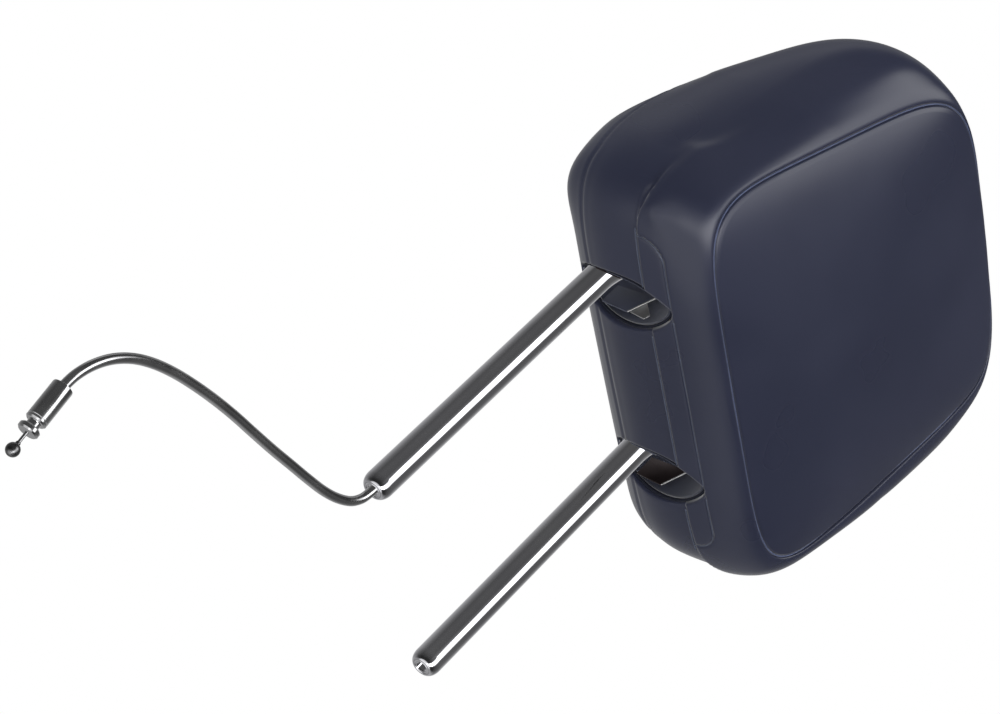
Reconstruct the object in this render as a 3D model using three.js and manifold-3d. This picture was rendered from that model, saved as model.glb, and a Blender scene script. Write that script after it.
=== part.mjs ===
// Car head restraint on a bent steel stay tube, with a cable-released tilt clutch inside the cushion.
// Millimetres. The origin lies midway between the lower ends of the two posts, +Z runs up along the
// posts, -Y is the side that the head touches, and the cable leaves the post on the -X side.
import * as THREE from 'three';
import { mergeVertices } from 'three/addons/utils/BufferGeometryUtils.js';
import Module from 'manifold-3d';

const wasm = await Module();
wasm.setup();

// Driving dimensions: stay tube
const POST_SPACING = 117;
const TUBE_DIAMETER = 16;
const TUBE_WALL = 2.5;
const BEND_HEIGHT = 200;
const BEND_RADIUS = 40;
const PIVOT_Y = -60;
const PIVOT_Z = 290;
const CORNER_RADIUS = 24;
const TIP_HOLE_DIAMETER = 5.7;
const TIP_ROUNDING = 3;
const NOTCH_FIRST = 60;
const NOTCH_STEP = 22;
const NOTCH_COUNT = 3;
const NOTCH_DEPTH = 1.5;
const NOTCH_HEIGHT = 5;
const SWAGE_HEIGHT = 10;

// Driving dimensions: running gaps and the travel of the tilt
const GAP = 0.3;
const TILT_RANGE = 20;

// Driving dimensions: cushion, as three rounded loops that its surface passes through.
// Each loop lies in a plane that leans forward; half_low and half_high are its half widths.
const PLANE_HEIGHT = 200;
const SEAM_LOOP = {
  y: -83, lean: 12.7, low: 185, high: 372,
  half_low: 124, half_high: 98, round_low: 6, round_high: 4.9,
};
const BELLY_LOOP = {
  y: -46, lean: 12.9, low: 176, high: 376,
  half_low: 138, half_high: 138.5, round_low: 7, round_high: 3.9,
};
const BACK_LOOP = {
  y: 28, lean: 26.7, low: 211, high: 372,
  half_low: 134, half_high: 115, round_low: 4.8, round_high: 3.7,
};
const FRONT_CROWN = 9;
const BACK_CROWN = 7;
const COVER_THICKNESS = 2;
const REAR_STEP = 1.5;
const AROUND = 36;
const RINGS = 14;

// Driving dimensions: underside slots, which are long lenses in plan, and the closing flap between
// the two halves of the cover. A slot's fullness is 0.5 for an ellipse and more for pointed ends.
const SLOT_WIDTH = 29.6;
const SLOT_REAR = 13;
const SLOT_FRONT = -55;
const SLOT_FULLNESS = 0.62;
const FLAP_HALF_LENGTH = 98;
const FLAP_DEPTH = 17;
const FLAP_CORNER = 7;
const UNDERSIDE_DEPTH = 10;
const SLOT_START = 140;

// How far the outline of a seam is pushed out past its panel, and in past the seam
const PANEL_ROOM = 60;
const SEAM_ROOM = 25;

// Longer than the whole part, for cutters that reach past it
const BEYOND = 400;

// Driving dimensions: moulded core, two half shells that clamp the crossbar
const CORE_WALL = 2.5;
const CORE_BOTTOM = 215;
const CORE_TOP = 325;
const CORE_FRONT_ROOM = 27;
const CORE_BACK_ROOM = 24;
const CORE_FRONT_LEAN = 13;
const CORE_BACK_LEAN = 30;
const CORE_HALF_LOW = 95;
const CORE_HALF_HIGH = 82;
const CORE_CORNER = 15;
const SADDLE_HEIGHT = 44;
const BOSS_DIAMETER = 10;
const BOSS_X = 74;
const BOSS_LOW = 232;
const BOSS_HIGH = 306;
const SCREW_DIAMETER = 4;
const SCREW_HEAD_DIAMETER = 8;
const SCREW_HEAD_HEIGHT = 2.6;
const SCREW_REACH = 12;
const SCREW_POINT = 2;

// Driving dimensions: bushes, clutch and release lever on the crossbar
const BUSH_LENGTH = 6;
const BUSH_WALL = 3;
const BUSH_X = 31;
const BRACKET_SHEET = 2;
const BRACKET_X = -26;
const BRACKET_REACH = 21;
const BRACKET_RIM = 4.2;
const BRACKET_FOLD = 8;
const FLANGE_MARGIN = 5;
const LEVER_WIDTH = 6;
const LEVER_X = -21;
const LEVER_ARM = 17;
const LEVER_HUB_WALL = 6;
const LEVER_EYE_WALL = 2.4;
const LEVER_FORK = 2.8;
const DRUM_START = -17;
const DRUM_LENGTH = 25;
const DRUM_WALL = 2;
const DRUM_KEY_LENGTH = 6;
const DRUM_KEY_WIDTH = 26;
const DRUM_KEY_CORNER = 4;
const SPRING_WIRE = 2;
const SPRING_PITCH = 2.7;
const SPRING_TURNS = 7;
const NIPPLE_DIAMETER = 5;
const CONDUIT_END = 26;

// Driving dimensions: end stops of the tilt
const STOP_SHEET = 2;
const STOP_WIDTH = 19;
const STOP_HEIGHT = 26;
const BUFFER_DIAMETER = 10;
const BUFFER_HEIGHT = 232;
const BUFFER_CLEARANCE = 1.2;

// Driving dimensions: cable
const SHEATH_DIAMETER = 5;
const WIRE_DIAMETER = 1.6;
const FERRULE_DIAMETER = 10;
const FERRULE_LENGTH = 19.8;
const FERRULE_SOCKET = 8;
const FERRULE_NECK = 2.7;
const FERRULE_NECK_DIAMETER = 6;
const FLANGE_THICKNESS = 3;
const BALL_DIAMETER = 6.5;
const BALL_REACH = 9.5;
const WIRE_START = 2;

// Route of the free cable, from the mouth of the post to the ferrule, in the plane of the posts
const CABLE_ROUTE = [
  [-58.5, 0, -0.15], [-58.7, 0, -4.5], [-59.8, 0, -10.2], [-63.7, 0, -17], [-71.5, 0, -24.5],
  [-81.5, 0, -31.5], [-94, 0, -38.5], [-107.5, 0, -45.6], [-123, 0, -53.8],
  [-139, 0, -61.8], [-154, 0, -69.2], [-168.5, 0, -77], [-183, 0, -85.6],
  [-196, 0, -94.2], [-207.4, 0, -103.2], [-216.6, 0, -112.6], [-223.4, 0, -122.6], [-227.6, 0, -132.8],
  [-229.4, 0, -142.6], [-228.9, 0, -151], [-226.9, 0, -158.8],
];

const tubeRadius = TUBE_DIAMETER / 2;
const boreRadius = tubeRadius - TUBE_WALL;
const postX = POST_SPACING / 2;
const legLean = Math.atan2(-PIVOT_Y, PIVOT_Z - BEND_HEIGHT);

const LEATHER = { color: 0x232838, roughness: 0.38, metalness: 0 };
const CHROME = { color: 0xc9ccd0, roughness: 0.12, metalness: 1 };
const STEEL = { color: 0x9a9da1, roughness: 0.35, metalness: 1 };
const PLASTIC = { color: 0x1b1c1f, roughness: 0.6, metalness: 0 };
const NYLON = { color: 0xd8d4c8, roughness: 0.5, metalness: 0 };
const FOAM = { color: 0xc9b98f, roughness: 0.95, metalness: 0 };
const RUBBER = { color: 0x161616, roughness: 0.9, metalness: 0 };

// Turns a closed geometry into a solid that can be joined and cut.
function solid(geometry) {
  const bare = geometry.clone();
  bare.deleteAttribute('normal');
  bare.deleteAttribute('uv');
  const merged = mergeVertices(bare, 1e-4);
  const mesh = new wasm.Mesh({
    numProp: 3,
    vertProperties: new Float32Array(merged.attributes.position.array),
    triVerts: new Uint32Array(merged.index.array),
  });
  return new wasm.Manifold(mesh);
}

// Turns a solid back into a geometry.
function geometryOf(body) {
  const mesh = body.getMesh();
  const geometry = new THREE.BufferGeometry();
  geometry.setAttribute('position', new THREE.Float32BufferAttribute(mesh.vertProperties, 3));
  geometry.setIndex(new THREE.Uint32BufferAttribute(mesh.triVerts, 1));
  geometry.computeVertexNormals();
  return geometry;
}

function joined(...bodies) {
  return bodies.reduce((sum, body) => sum.add(body));
}

function without(body, ...cutters) {
  return cutters.reduce((rest, cutter) => rest.subtract(cutter), body);
}

function moved(geometry, x, y, z) {
  return geometry.translate(x, y, z);
}

function block(x0, x1, y0, y1, z0, z1) {
  const box = new THREE.BoxGeometry(x1 - x0, y1 - y0, z1 - z0);
  return moved(box, (x0 + x1) / 2, (y0 + y1) / 2, (z0 + z1) / 2);
}

// A round bar along X.
function barX(radius, x0, x1, y = 0, z = 0, sides = 24) {
  const bar = new THREE.CylinderGeometry(radius, radius, x1 - x0, sides).rotateZ(Math.PI / 2);
  return moved(bar, (x0 + x1) / 2, y, z);
}

// A round bar along Y.
function barY(radius, y0, y1, x = 0, z = 0, sides = 16) {
  return moved(new THREE.CylinderGeometry(radius, radius, y1 - y0, sides), x, (y0 + y1) / 2, z);
}

// A round bar along Z.
function barZ(radius, z0, z1, x = 0, y = 0, sides = 16) {
  const bar = new THREE.CylinderGeometry(radius, radius, z1 - z0, sides).rotateX(Math.PI / 2);
  return moved(bar, x, y, (z0 + z1) / 2);
}

// Extrudes a side view, drawn in Y and Z, along X.
function alongX(shape, x0, x1, curveSegments = 8) {
  const plate = new THREE.ExtrudeGeometry(shape, { depth: x1 - x0, bevelEnabled: false, curveSegments });
  // The drawing's first axis becomes Y, its second Z and the depth X.
  plate.applyMatrix4(new THREE.Matrix4().set(0, 0, 1, x0, 1, 0, 0, 0, 0, 1, 0, 0, 0, 0, 0, 1));
  return plate;
}

// Extrudes a front view, drawn in X and Z, along Y.
function alongY(shape, y0, y1, curveSegments = 8) {
  const plate = new THREE.ExtrudeGeometry(shape, { depth: y1 - y0, bevelEnabled: false, curveSegments });
  return moved(plate.rotateX(Math.PI / 2), 0, y1, 0);
}

// Extrudes a plan, drawn in X and Y, along Z.
function alongZ(shape, z0, z1, curveSegments = 8) {
  const plate = new THREE.ExtrudeGeometry(shape, { depth: z1 - z0, bevelEnabled: false, curveSegments });
  return moved(plate, 0, 0, z0);
}

function polygon(points) {
  return new THREE.Shape(points.map(([a, b]) => new THREE.Vector2(a, b)));
}

// A rectangle with round corners.
function roundedRectangle(a0, a1, b0, b1, radius) {
  const shape = new THREE.Shape();
  shape.moveTo(a0 + radius, b0);
  shape.lineTo(a1 - radius, b0);
  shape.absarc(a1 - radius, b0 + radius, radius, -Math.PI / 2, 0);
  shape.lineTo(a1, b1 - radius);
  shape.absarc(a1 - radius, b1 - radius, radius, 0, Math.PI / 2);
  shape.lineTo(a0 + radius, b1);
  shape.absarc(a0 + radius, b1 - radius, radius, Math.PI / 2, Math.PI);
  shape.lineTo(a0, b0 + radius);
  shape.absarc(a0 + radius, b0 + radius, radius, Math.PI, Math.PI * 1.5);
  return shape;
}

function circle(radius, sides) {
  const points = [];
  for (let i = 0; i < sides; i += 1) {
    const angle = (i + 0.5) * 2 * Math.PI / sides;
    points.push([radius * Math.cos(angle), radius * Math.sin(angle)]);
  }
  return polygon(points);
}

// A path that steps only at its own stations, so straight stretches stay one step long.
class StationPath extends THREE.Curve {
  constructor(points) {
    super();
    this.points = points;
  }

  getPointAt(share, target = new THREE.Vector3()) {
    return target.copy(this.points[Math.round(share * (this.points.length - 1))]);
  }

  getTangentAt(share, target = new THREE.Vector3()) {
    const last = this.points.length - 1;
    const i = Math.round(share * last);
    const here = this.points[i];
    const back = here.clone().sub(this.points[Math.max(i - 1, 0)]).normalize();
    const ahead = this.points[Math.min(i + 1, last)].clone().sub(here).normalize();
    return target.copy(back.add(ahead)).normalize();
  }
}

// A round bar along the stations of a path.
function sweep(points, radius, sides) {
  const path = new StationPath(points);
  const options = { steps: points.length - 1, extrudePath: path, bevelEnabled: false };
  return new THREE.ExtrudeGeometry(circle(radius, sides), options);
}

// Points of an arc that turns from one direction to another about a corner, with its tangent points.
function roundedCorner(before, corner, after, radius, steps) {
  const back = before.clone().sub(corner).normalize();
  const ahead = after.clone().sub(corner).normalize();
  const half = back.angleTo(ahead) / 2;
  const bisector = back.clone().add(ahead).normalize();
  const centre = corner.clone().addScaledVector(bisector, radius / Math.sin(half));
  const start = corner.clone().addScaledVector(back, radius / Math.tan(half)).sub(centre);
  const end = corner.clone().addScaledVector(ahead, radius / Math.tan(half)).sub(centre);
  const axis = start.clone().cross(end).normalize();
  const points = [];
  for (let i = 0; i <= steps; i += 1) {
    const angle = (Math.PI - 2 * half) * i / steps;
    points.push(start.clone().applyAxisAngle(axis, angle).add(centre));
  }
  return points;
}

// Centre line of the stay tube, from one post end to the other.
function stayLine(endHeight) {
  const foot = (side) => new THREE.Vector3(side * postX, 0, endHeight);
  const bend = (side) => new THREE.Vector3(side * postX, 0, BEND_HEIGHT);
  const top = (side) => new THREE.Vector3(side * postX, PIVOT_Y, PIVOT_Z);
  const half = (side) => [
    foot(side),
    ...roundedCorner(foot(side), bend(side), top(side), BEND_RADIUS, 5),
    ...roundedCorner(bend(side), top(side), top(-side), CORNER_RADIUS, 6),
  ];
  return [...half(-1), ...half(1).reverse()];
}

// One point of a loop, scaled by share towards its middle; inset draws the loop in on all sides.
function loopPoint(loop, angle, share, inset) {
  const round = Math.sin(angle) < 0 ? loop.round_low : loop.round_high;
  const across = Math.sign(Math.cos(angle)) * Math.abs(Math.cos(angle)) ** (2 / round);
  const up = Math.sign(Math.sin(angle)) * Math.abs(Math.sin(angle)) ** (2 / round) * share;
  const low = loop.low + inset;
  const high = loop.high - inset;
  const z = (low + high) / 2 + (high - low) / 2 * up;
  const half = (loop.half_low + loop.half_high) / 2 + (loop.half_high - loop.half_low) / 2 * up - inset;
  const y = loop.y - Math.tan(THREE.MathUtils.degToRad(loop.lean)) * (z - PLANE_HEIGHT);
  return new THREE.Vector3(across * half * share, y, z);
}

// A point of the cushion's surface. reach runs from -1 at the middle of the front, through 0 at the
// belly, to 1 at the middle of the back; the loops of the seam and of the back lie at half way.
function cushionPoint(angle, reach, inset) {
  const front = reach < 0;
  const end = front ? SEAM_LOOP : BACK_LOOP;
  const inward = front ? inset : -inset;
  const far = Math.abs(reach) * 2;
  if (far <= 1) {
    const belly = loopPoint(BELLY_LOOP, angle, 1, inset);
    const rim = loopPoint(end, angle, 1, inset);
    rim.y += inward;
    const turn = far * Math.PI / 2;
    const point = belly.clone().lerp(rim, 1 - Math.cos(turn));
    point.y = belly.y + (rim.y - belly.y) * Math.sin(turn);
    return point;
  }
  const share = 2 - far;
  const point = loopPoint(end, angle, share, inset);
  const crown = front ? -FRONT_CROWN : BACK_CROWN;
  point.y += inward + crown * (1 - share ** 2);
  return point;
}

// The whole cushion as one closed solid, drawn in by inset.
function cushionSolid(inset) {
  const sphere = new THREE.SphereGeometry(1, AROUND, RINGS);
  sphere.deleteAttribute('normal');
  sphere.deleteAttribute('uv');
  const ball = mergeVertices(sphere, 1e-4);
  const position = ball.attributes.position;
  const vertex = new THREE.Vector3();
  for (let i = 0; i < position.count; i += 1) {
    vertex.fromBufferAttribute(position, i);
    const angle = Math.atan2(vertex.z, vertex.x);
    const reach = Math.asin(THREE.MathUtils.clamp(vertex.y, -1, 1)) / (Math.PI / 2);
    const point = cushionPoint(angle, reach, inset);
    position.setXYZ(i, point.x, point.y, point.z);
  }
  return solid(ball);
}

// A plane that leans forward with a loop, as the block of everything on its rear side.
function behind(loop, gap) {
  const side = block(-BEYOND, BEYOND, gap, BEYOND, -BEYOND, BEYOND);
  side.rotateX(THREE.MathUtils.degToRad(loop.lean));
  return solid(moved(side, 0, loop.y, PLANE_HEIGHT));
}

// A loop pushed through the cushion square to its own plane; grow widens it on all sides.
function loopPrism(loop, grow, from, to) {
  const lean = THREE.MathUtils.degToRad(loop.lean);
  const outline = [];
  for (let i = 0; i < AROUND; i += 1) {
    const point = loopPoint(loop, i * 2 * Math.PI / AROUND, 1, -grow);
    outline.push([point.x, (point.z - PLANE_HEIGHT) / Math.cos(lean)]);
  }
  const prism = alongY(polygon(outline), from, to).rotateX(lean);
  return solid(moved(prism, 0, loop.y, PLANE_HEIGHT));
}

// The upright part of each slot, where a post passes through the underside.
function slotRoom(side) {
  const steps = 14;
  const middle = (SLOT_REAR + SLOT_FRONT) / 2;
  const reach = (SLOT_REAR - SLOT_FRONT) / 2;
  const rim = (turn) => {
    const width = Math.sign(Math.sin(turn)) * Math.abs(Math.sin(turn)) ** (2 * SLOT_FULLNESS);
    return [side * postX + SLOT_WIDTH / 2 * width, middle + reach * Math.cos(turn)];
  };
  const outline = [];
  for (let i = 0; i < 2 * steps; i += 1) {
    outline.push(rim(-Math.PI * i / steps));
  }
  return solid(alongZ(polygon(outline), SLOT_START, CORE_BOTTOM + CORE_WALL));
}

const slots = joined(slotRoom(-1), slotRoom(1));

// Side view of the core; inset draws its front, back and top walls in.
function coreSide(inset, bottom) {
  const frontSlope = Math.tan(THREE.MathUtils.degToRad(CORE_FRONT_LEAN));
  const backSlope = Math.tan(THREE.MathUtils.degToRad(CORE_BACK_LEAN));
  const front = (z) => PIVOT_Y - CORE_FRONT_ROOM + inset - frontSlope * (z - PIVOT_Z);
  const back = (z) => PIVOT_Y + CORE_BACK_ROOM - inset - backSlope * (z - PIVOT_Z);
  const top = CORE_TOP - inset;
  return polygon([[front(bottom), bottom], [back(bottom), bottom], [back(top), top], [front(top), top]]);
}

// The core's outer form, or its hollow when inset is its wall.
function coreBody(inset, bottom) {
  const low = CORE_HALF_LOW - inset;
  const high = CORE_HALF_HIGH - inset;
  const top = CORE_TOP - inset;
  const corner = CORE_CORNER - inset;
  const face = new THREE.Shape();
  face.moveTo(-low, bottom);
  face.lineTo(low, bottom);
  face.lineTo(high, top - corner);
  face.quadraticCurveTo(high - corner * 0.1, top, high - corner, top);
  face.lineTo(-high + corner, top);
  face.quadraticCurveTo(-high + corner * 0.1, top, -high, top - corner);
  const side = solid(alongX(coreSide(inset, bottom), -BEYOND, BEYOND));
  return side.intersect(solid(alongY(face, -BEYOND, BEYOND, 5)));
}

// The plane in which the two half shells of the core meet, through the crossbar.
const splitLean = (CORE_FRONT_LEAN + CORE_BACK_LEAN) / 2;

function splitFrame(geometry) {
  return moved(geometry.rotateX(THREE.MathUtils.degToRad(splitLean)), 0, PIVOT_Y, PIVOT_Z);
}

// Height of a boss measured in the split plane.
function bossHeight(z) {
  return (z - PIVOT_Z) / Math.cos(THREE.MathUtils.degToRad(splitLean));
}

const bossPlaces = [[-BOSS_X, BOSS_LOW], [BOSS_X, BOSS_LOW], [-BOSS_X, BOSS_HIGH], [BOSS_X, BOSS_HIGH]];

// Crossbar fittings are drawn with their own Y and Z about the crossbar, Z up along the legs.
function crossbarFrame(geometry) {
  return moved(geometry.rotateX(legLean), 0, PIVOT_Y, PIVOT_Z);
}

const runningRadius = tubeRadius + GAP;
const bushRadius = runningRadius + BUSH_WALL;
const drumRadius = runningRadius + DRUM_WALL;
const coilRadius = drumRadius + GAP + SPRING_WIRE / 2;
const leverRadius = runningRadius + LEVER_HUB_WALL;
const anchorFloor = leverRadius + GAP;

// A point given about the crossbar, in the frame of the part.
function crossbarPoint(x, y, z) {
  const point = new THREE.Vector3(x, y, z).applyAxisAngle(new THREE.Vector3(1, 0, 0), legLean);
  return point.add(new THREE.Vector3(0, PIVOT_Y, PIVOT_Z));
}

// Route of the cable's sheath inside the tube and out to the lever's bracket, about the crossbar
const INNER_ROUTE = [
  [-58.5, 0, -88], [-57.6, -0.6, -82], [-54.6, -1.8, -75], [-49.6, -4, -67.5],
  [-42.6, -7.4, -60.5], [-34.8, -11, -54], [-28, -14.2, -47.5], [-23.2, -16.3, -41],
];

function innerRoute() {
  const start = new THREE.Vector3(-postX, 0, GAP / 2);
  const bend = new THREE.Vector3(-postX, 0, BEND_HEIGHT);
  const top = new THREE.Vector3(-postX, PIVOT_Y, PIVOT_Z);
  const end = -CONDUIT_END - BRACKET_SHEET - GAP;
  return [
    start,
    ...roundedCorner(start, bend, top, BEND_RADIUS, 5),
    ...INNER_ROUTE.map(([x, y, z]) => crossbarPoint(x, y, z)),
    crossbarPoint(LEVER_X, -LEVER_ARM, end - SHEATH_DIAMETER),
    crossbarPoint(LEVER_X, -LEVER_ARM, end),
  ];
}

const model = new THREE.Group();

function add(parent, name, geometry, finish) {
  const mesh = new THREE.Mesh(geometry, new THREE.MeshStandardMaterial(finish));
  mesh.name = name;
  parent.add(mesh);
  return mesh;
}

// Stay tube: one hollow tube with swaged ends, lock notches in one post and a window for the cable.
function stayTube() {
  const outer = solid(sweep(stayLine(SWAGE_HEIGHT), tubeRadius, 18));
  const bore = solid(sweep(stayLine(SWAGE_HEIGHT - 2), boreRadius, 12));
  const tip = () => {
    const holeRadius = TIP_HOLE_DIAMETER / 2;
    const profile = [
      [holeRadius, 0], [tubeRadius - TIP_ROUNDING - 0.4, 0], [tubeRadius - TIP_ROUNDING * 0.45, 1],
      [tubeRadius - 0.4, TIP_ROUNDING], [tubeRadius, TIP_ROUNDING * 2],
      [tubeRadius, SWAGE_HEIGHT + 1], [boreRadius, SWAGE_HEIGHT + 1],
      [boreRadius, TIP_ROUNDING * 2], [holeRadius, TIP_ROUNDING], [holeRadius, 0],
    ];
    const lathe = new THREE.LatheGeometry(profile.map(([r, z]) => new THREE.Vector2(r, z)), 20);
    return lathe.rotateX(Math.PI / 2);
  };
  const hollow = outer.subtract(bore);
  const notches = [];
  for (let i = 0; i < NOTCH_COUNT; i += 1) {
    const seat = NOTCH_FIRST + i * NOTCH_STEP;
    const floor = postX + tubeRadius - NOTCH_DEPTH;
    const run = 2 * NOTCH_DEPTH;
    const foot = seat - NOTCH_HEIGHT;
    const outline = [[floor, seat], [floor, foot], [floor + run, foot - run], [floor + run, seat]];
    notches.push(solid(alongY(polygon(outline), -tubeRadius, tubeRadius)));
  }
  const window = solid(sweep(innerRoute().slice(6, 13), SHEATH_DIAMETER / 2 + 1, 10));
  return without(
    joined(hollow, solid(moved(tip(), -postX, 0, 0)), solid(moved(tip(), postX, 0, 0))),
    window, ...notches);
}

// Folded bracket welded to the crossbar: it stops the sheath and anchors the clutch spring.
function leverBracket() {
  const x0 = BRACKET_X - BRACKET_SHEET / 2;
  const x1 = BRACKET_X + BRACKET_SHEET / 2;
  const anchorTop = anchorFloor + BRACKET_SHEET;
  const rim = runningRadius + BRACKET_RIM;
  const cheek = polygon([
    [anchorTop, -BRACKET_FOLD / 2], [anchorTop, BRACKET_FOLD / 2],
    [rim * 0.56, rim], [-rim * 0.72, rim], [-rim * 1.12, rim * 0.32],
    [-BRACKET_REACH, -rim * 1.28], [-BRACKET_REACH, -CONDUIT_END],
    [FLANGE_MARGIN - LEVER_ARM, -CONDUIT_END], [rim * 0.16, -rim * 1.12],
  ]);
  const plate = solid(alongX(cheek, x0, x1));
  const flange = solid(block(
    x0, LEVER_X + FLANGE_MARGIN, -BRACKET_REACH, FLANGE_MARGIN - LEVER_ARM,
    -CONDUIT_END - BRACKET_SHEET, -CONDUIT_END));
  const anchor = solid(block(
    x0, springEnd() + BRACKET_FOLD / 2, anchorFloor, anchorTop,
    -BRACKET_FOLD / 2, BRACKET_FOLD / 2));
  const shaftHole = solid(barX(runningRadius, x0 - 1, x1 + 1));
  const wireHole = solid(barZ(
    WIRE_DIAMETER, -CONDUIT_END - 2 * BRACKET_SHEET, -CONDUIT_END + BRACKET_SHEET,
    LEVER_X, -LEVER_ARM));
  const tang = SPRING_WIRE / 2 + GAP;
  const tangSlot = solid(block(
    springEnd() - tang, springEnd() + tang, anchorFloor - 1, anchorTop + 1, -tang, tang));
  return without(joined(plate, flange, anchor), shaftHole, wireHole, tangSlot);
}

// Where the first and last coils of the clutch spring lie along X.
function springStart() {
  return DRUM_START + SPRING_WIRE / 2 + 1;
}

function springEnd() {
  return springStart() + SPRING_TURNS * SPRING_PITCH;
}

// Clutch spring: close coils on the drum, one tang into the lever and one into the bracket.
function clutchSpring() {
  const perTurn = 14;
  const points = [
    new THREE.Vector3(LEVER_X, coilRadius, 0),
    new THREE.Vector3(springStart() - SPRING_WIRE, coilRadius, 0),
  ];
  for (let i = 0; i <= SPRING_TURNS * perTurn; i += 1) {
    const angle = i * 2 * Math.PI / perTurn;
    const x = springStart() + i * SPRING_PITCH / perTurn;
    points.push(new THREE.Vector3(x, coilRadius * Math.cos(angle), coilRadius * Math.sin(angle)));
  }
  points.push(new THREE.Vector3(springEnd(), anchorFloor + BRACKET_SHEET * 1.4, 0));
  return crossbarFrame(sweep(points, SPRING_WIRE / 2, 6));
}

// Release lever: a hub on the crossbar with a forked arm for the nipple.
function releaseLever() {
  const nippleHole = NIPPLE_DIAMETER / 2 + GAP;
  const eye = nippleHole + LEVER_EYE_WALL;
  const fork = LEVER_FORK / 2;
  const x0 = LEVER_X - LEVER_WIDTH / 2;
  const x1 = LEVER_X + LEVER_WIDTH / 2;
  const hub = solid(barX(leverRadius, x0, x1, 0, 0, 28));
  const end = solid(barX(eye, x0, x1, -LEVER_ARM, 0, 20));
  const arm = solid(block(x0, x1, -LEVER_ARM, 0, -eye, eye));
  const bore = solid(barX(runningRadius, x0 - 1, x1 + 1, 0, 0, 28));
  const nippleSeat = solid(barX(nippleHole, x0 - 1, x1 + 1, -LEVER_ARM, 0, 16));
  const wireSlot = solid(block(
    LEVER_X - fork, LEVER_X + fork, -LEVER_ARM - fork, -LEVER_ARM + fork, -2 * eye, 0));
  const tangHole = solid(barX(
    SPRING_WIRE / 2 + GAP, LEVER_X - LEVER_WIDTH / 4, x1 + 1, coilRadius, 0, 12));
  const body = without(joined(hub, end, arm), bore, nippleSeat, wireSlot, tangHole);
  return crossbarFrame(geometryOf(body));
}

// Clutch drum: a steel sleeve that the spring grips, with a square key end held by the core.
function clutchDrum() {
  const end = DRUM_START + DRUM_LENGTH;
  const keyEnd = end + DRUM_KEY_LENGTH;
  const sleeve = solid(barX(drumRadius, DRUM_START, end, 0, 0, 28));
  const key = solid(alongX(keyOutline(DRUM_KEY_WIDTH / 2), end, keyEnd, 3));
  const bore = solid(barX(runningRadius, DRUM_START - 1, keyEnd + 1, 0, 0, 28));
  return without(joined(sleeve, key), bore);
}

// Side view of the drum's square key.
function keyOutline(half) {
  return roundedRectangle(-half, half, -half, half, DRUM_KEY_CORNER);
}

// A bar on the line of each screw, between two depths in the split plane's frame.
function screwBars(radius, from, to, sides) {
  return bossPlaces.map(([x, z]) => {
    const start = typeof from === 'function' ? from(z) : from;
    return solid(splitFrame(barY(radius, start, to, x, bossHeight(z), sides)));
  });
}

// Core: a hollow moulding with saddles for the bushes and the drum key, and four screw bosses.
function coreWhole() {
  const shell = coreBody(0, CORE_BOTTOM).subtract(coreBody(CORE_WALL, CORE_BOTTOM - CORE_WALL));
  const hollow = coreBody(CORE_WALL / 2, CORE_BOTTOM);
  const halfSaddle = SADDLE_HEIGHT / 2;
  const keyStart = DRUM_START + DRUM_LENGTH;
  const keyEnd = keyStart + DRUM_KEY_LENGTH;
  const saddle = (x0, x1) => {
    const band = block(x0, x1, -BEYOND, BEYOND, -halfSaddle, halfSaddle);
    return solid(splitFrame(band)).intersect(hollow);
  };
  const bushSeat = (side) => {
    const seat = barX(bushRadius + GAP, side * BUSH_X - BUSH_LENGTH, side * BUSH_X + BUSH_LENGTH, 0, 0, 28);
    return solid(splitFrame(seat));
  };
  const saddles = [
    saddle(-BUSH_X - BUSH_LENGTH / 2, -BUSH_X + BUSH_LENGTH / 2),
    saddle(BUSH_X - BUSH_LENGTH / 2, BUSH_X + BUSH_LENGTH / 2),
    saddle(keyStart + GAP, keyEnd),
  ];
  const keyOpening = alongX(
    keyOutline(DRUM_KEY_WIDTH / 2 + GAP), keyStart - CORE_WALL, keyEnd + CORE_WALL, 3);
  const seats = [bushSeat(-1), bushSeat(1), solid(splitFrame(keyOpening))];
  const bosses = screwBars(BOSS_DIAMETER / 2, -BEYOND, BEYOND, 16).map((boss) => boss.intersect(hollow));
  const shanks = screwBars(SCREW_DIAMETER / 2 + GAP, -SCREW_REACH - SCREW_POINT, BEYOND, 12);
  const headRooms = screwBars(SCREW_HEAD_DIAMETER / 2 + GAP, screwSeat, BEYOND, 16);
  return without(joined(shell, ...saddles, ...bosses), ...seats, ...shanks, ...headRooms);
}

// Depth of the screw's head seat behind the split plane: the head lies below the rear wall's face.
function screwSeat(z) {
  const backLean = THREE.MathUtils.degToRad(CORE_BACK_LEAN);
  const slope = backLean - THREE.MathUtils.degToRad(splitLean);
  const face = (CORE_BACK_ROOM * Math.cos(backLean) - bossHeight(z) * Math.sin(slope)) / Math.cos(slope);
  return face - SCREW_HEAD_HEIGHT - SCREW_HEAD_DIAMETER / 2 * Math.tan(slope) - 2 * GAP;
}

function coreHalf(front) {
  const side = front
    ? block(-BEYOND, BEYOND, -BEYOND, -GAP / 2, -BEYOND, BEYOND)
    : block(-BEYOND, BEYOND, GAP / 2, BEYOND, -BEYOND, BEYOND);
  return coreWhole().intersect(solid(splitFrame(side)));
}

function coreScrew([x, z]) {
  const seat = screwSeat(z);
  const shank = SCREW_DIAMETER / 2;
  const head = SCREW_HEAD_DIAMETER / 2;
  const top = seat + SCREW_HEAD_HEIGHT;
  const profile = [
    [0, -SCREW_REACH], [shank * 0.7, -SCREW_REACH], [shank, SCREW_POINT - SCREW_REACH],
    [shank, seat + GAP], [head, seat + GAP], [head, seat + SCREW_HEAD_HEIGHT * 0.6],
    [head * 0.7, top], [0, top],
  ];
  const screw = new THREE.LatheGeometry(profile.map(([r, y]) => new THREE.Vector2(r, y)), 12);
  return splitFrame(moved(screw, x, 0, bossHeight(z)));
}

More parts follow.
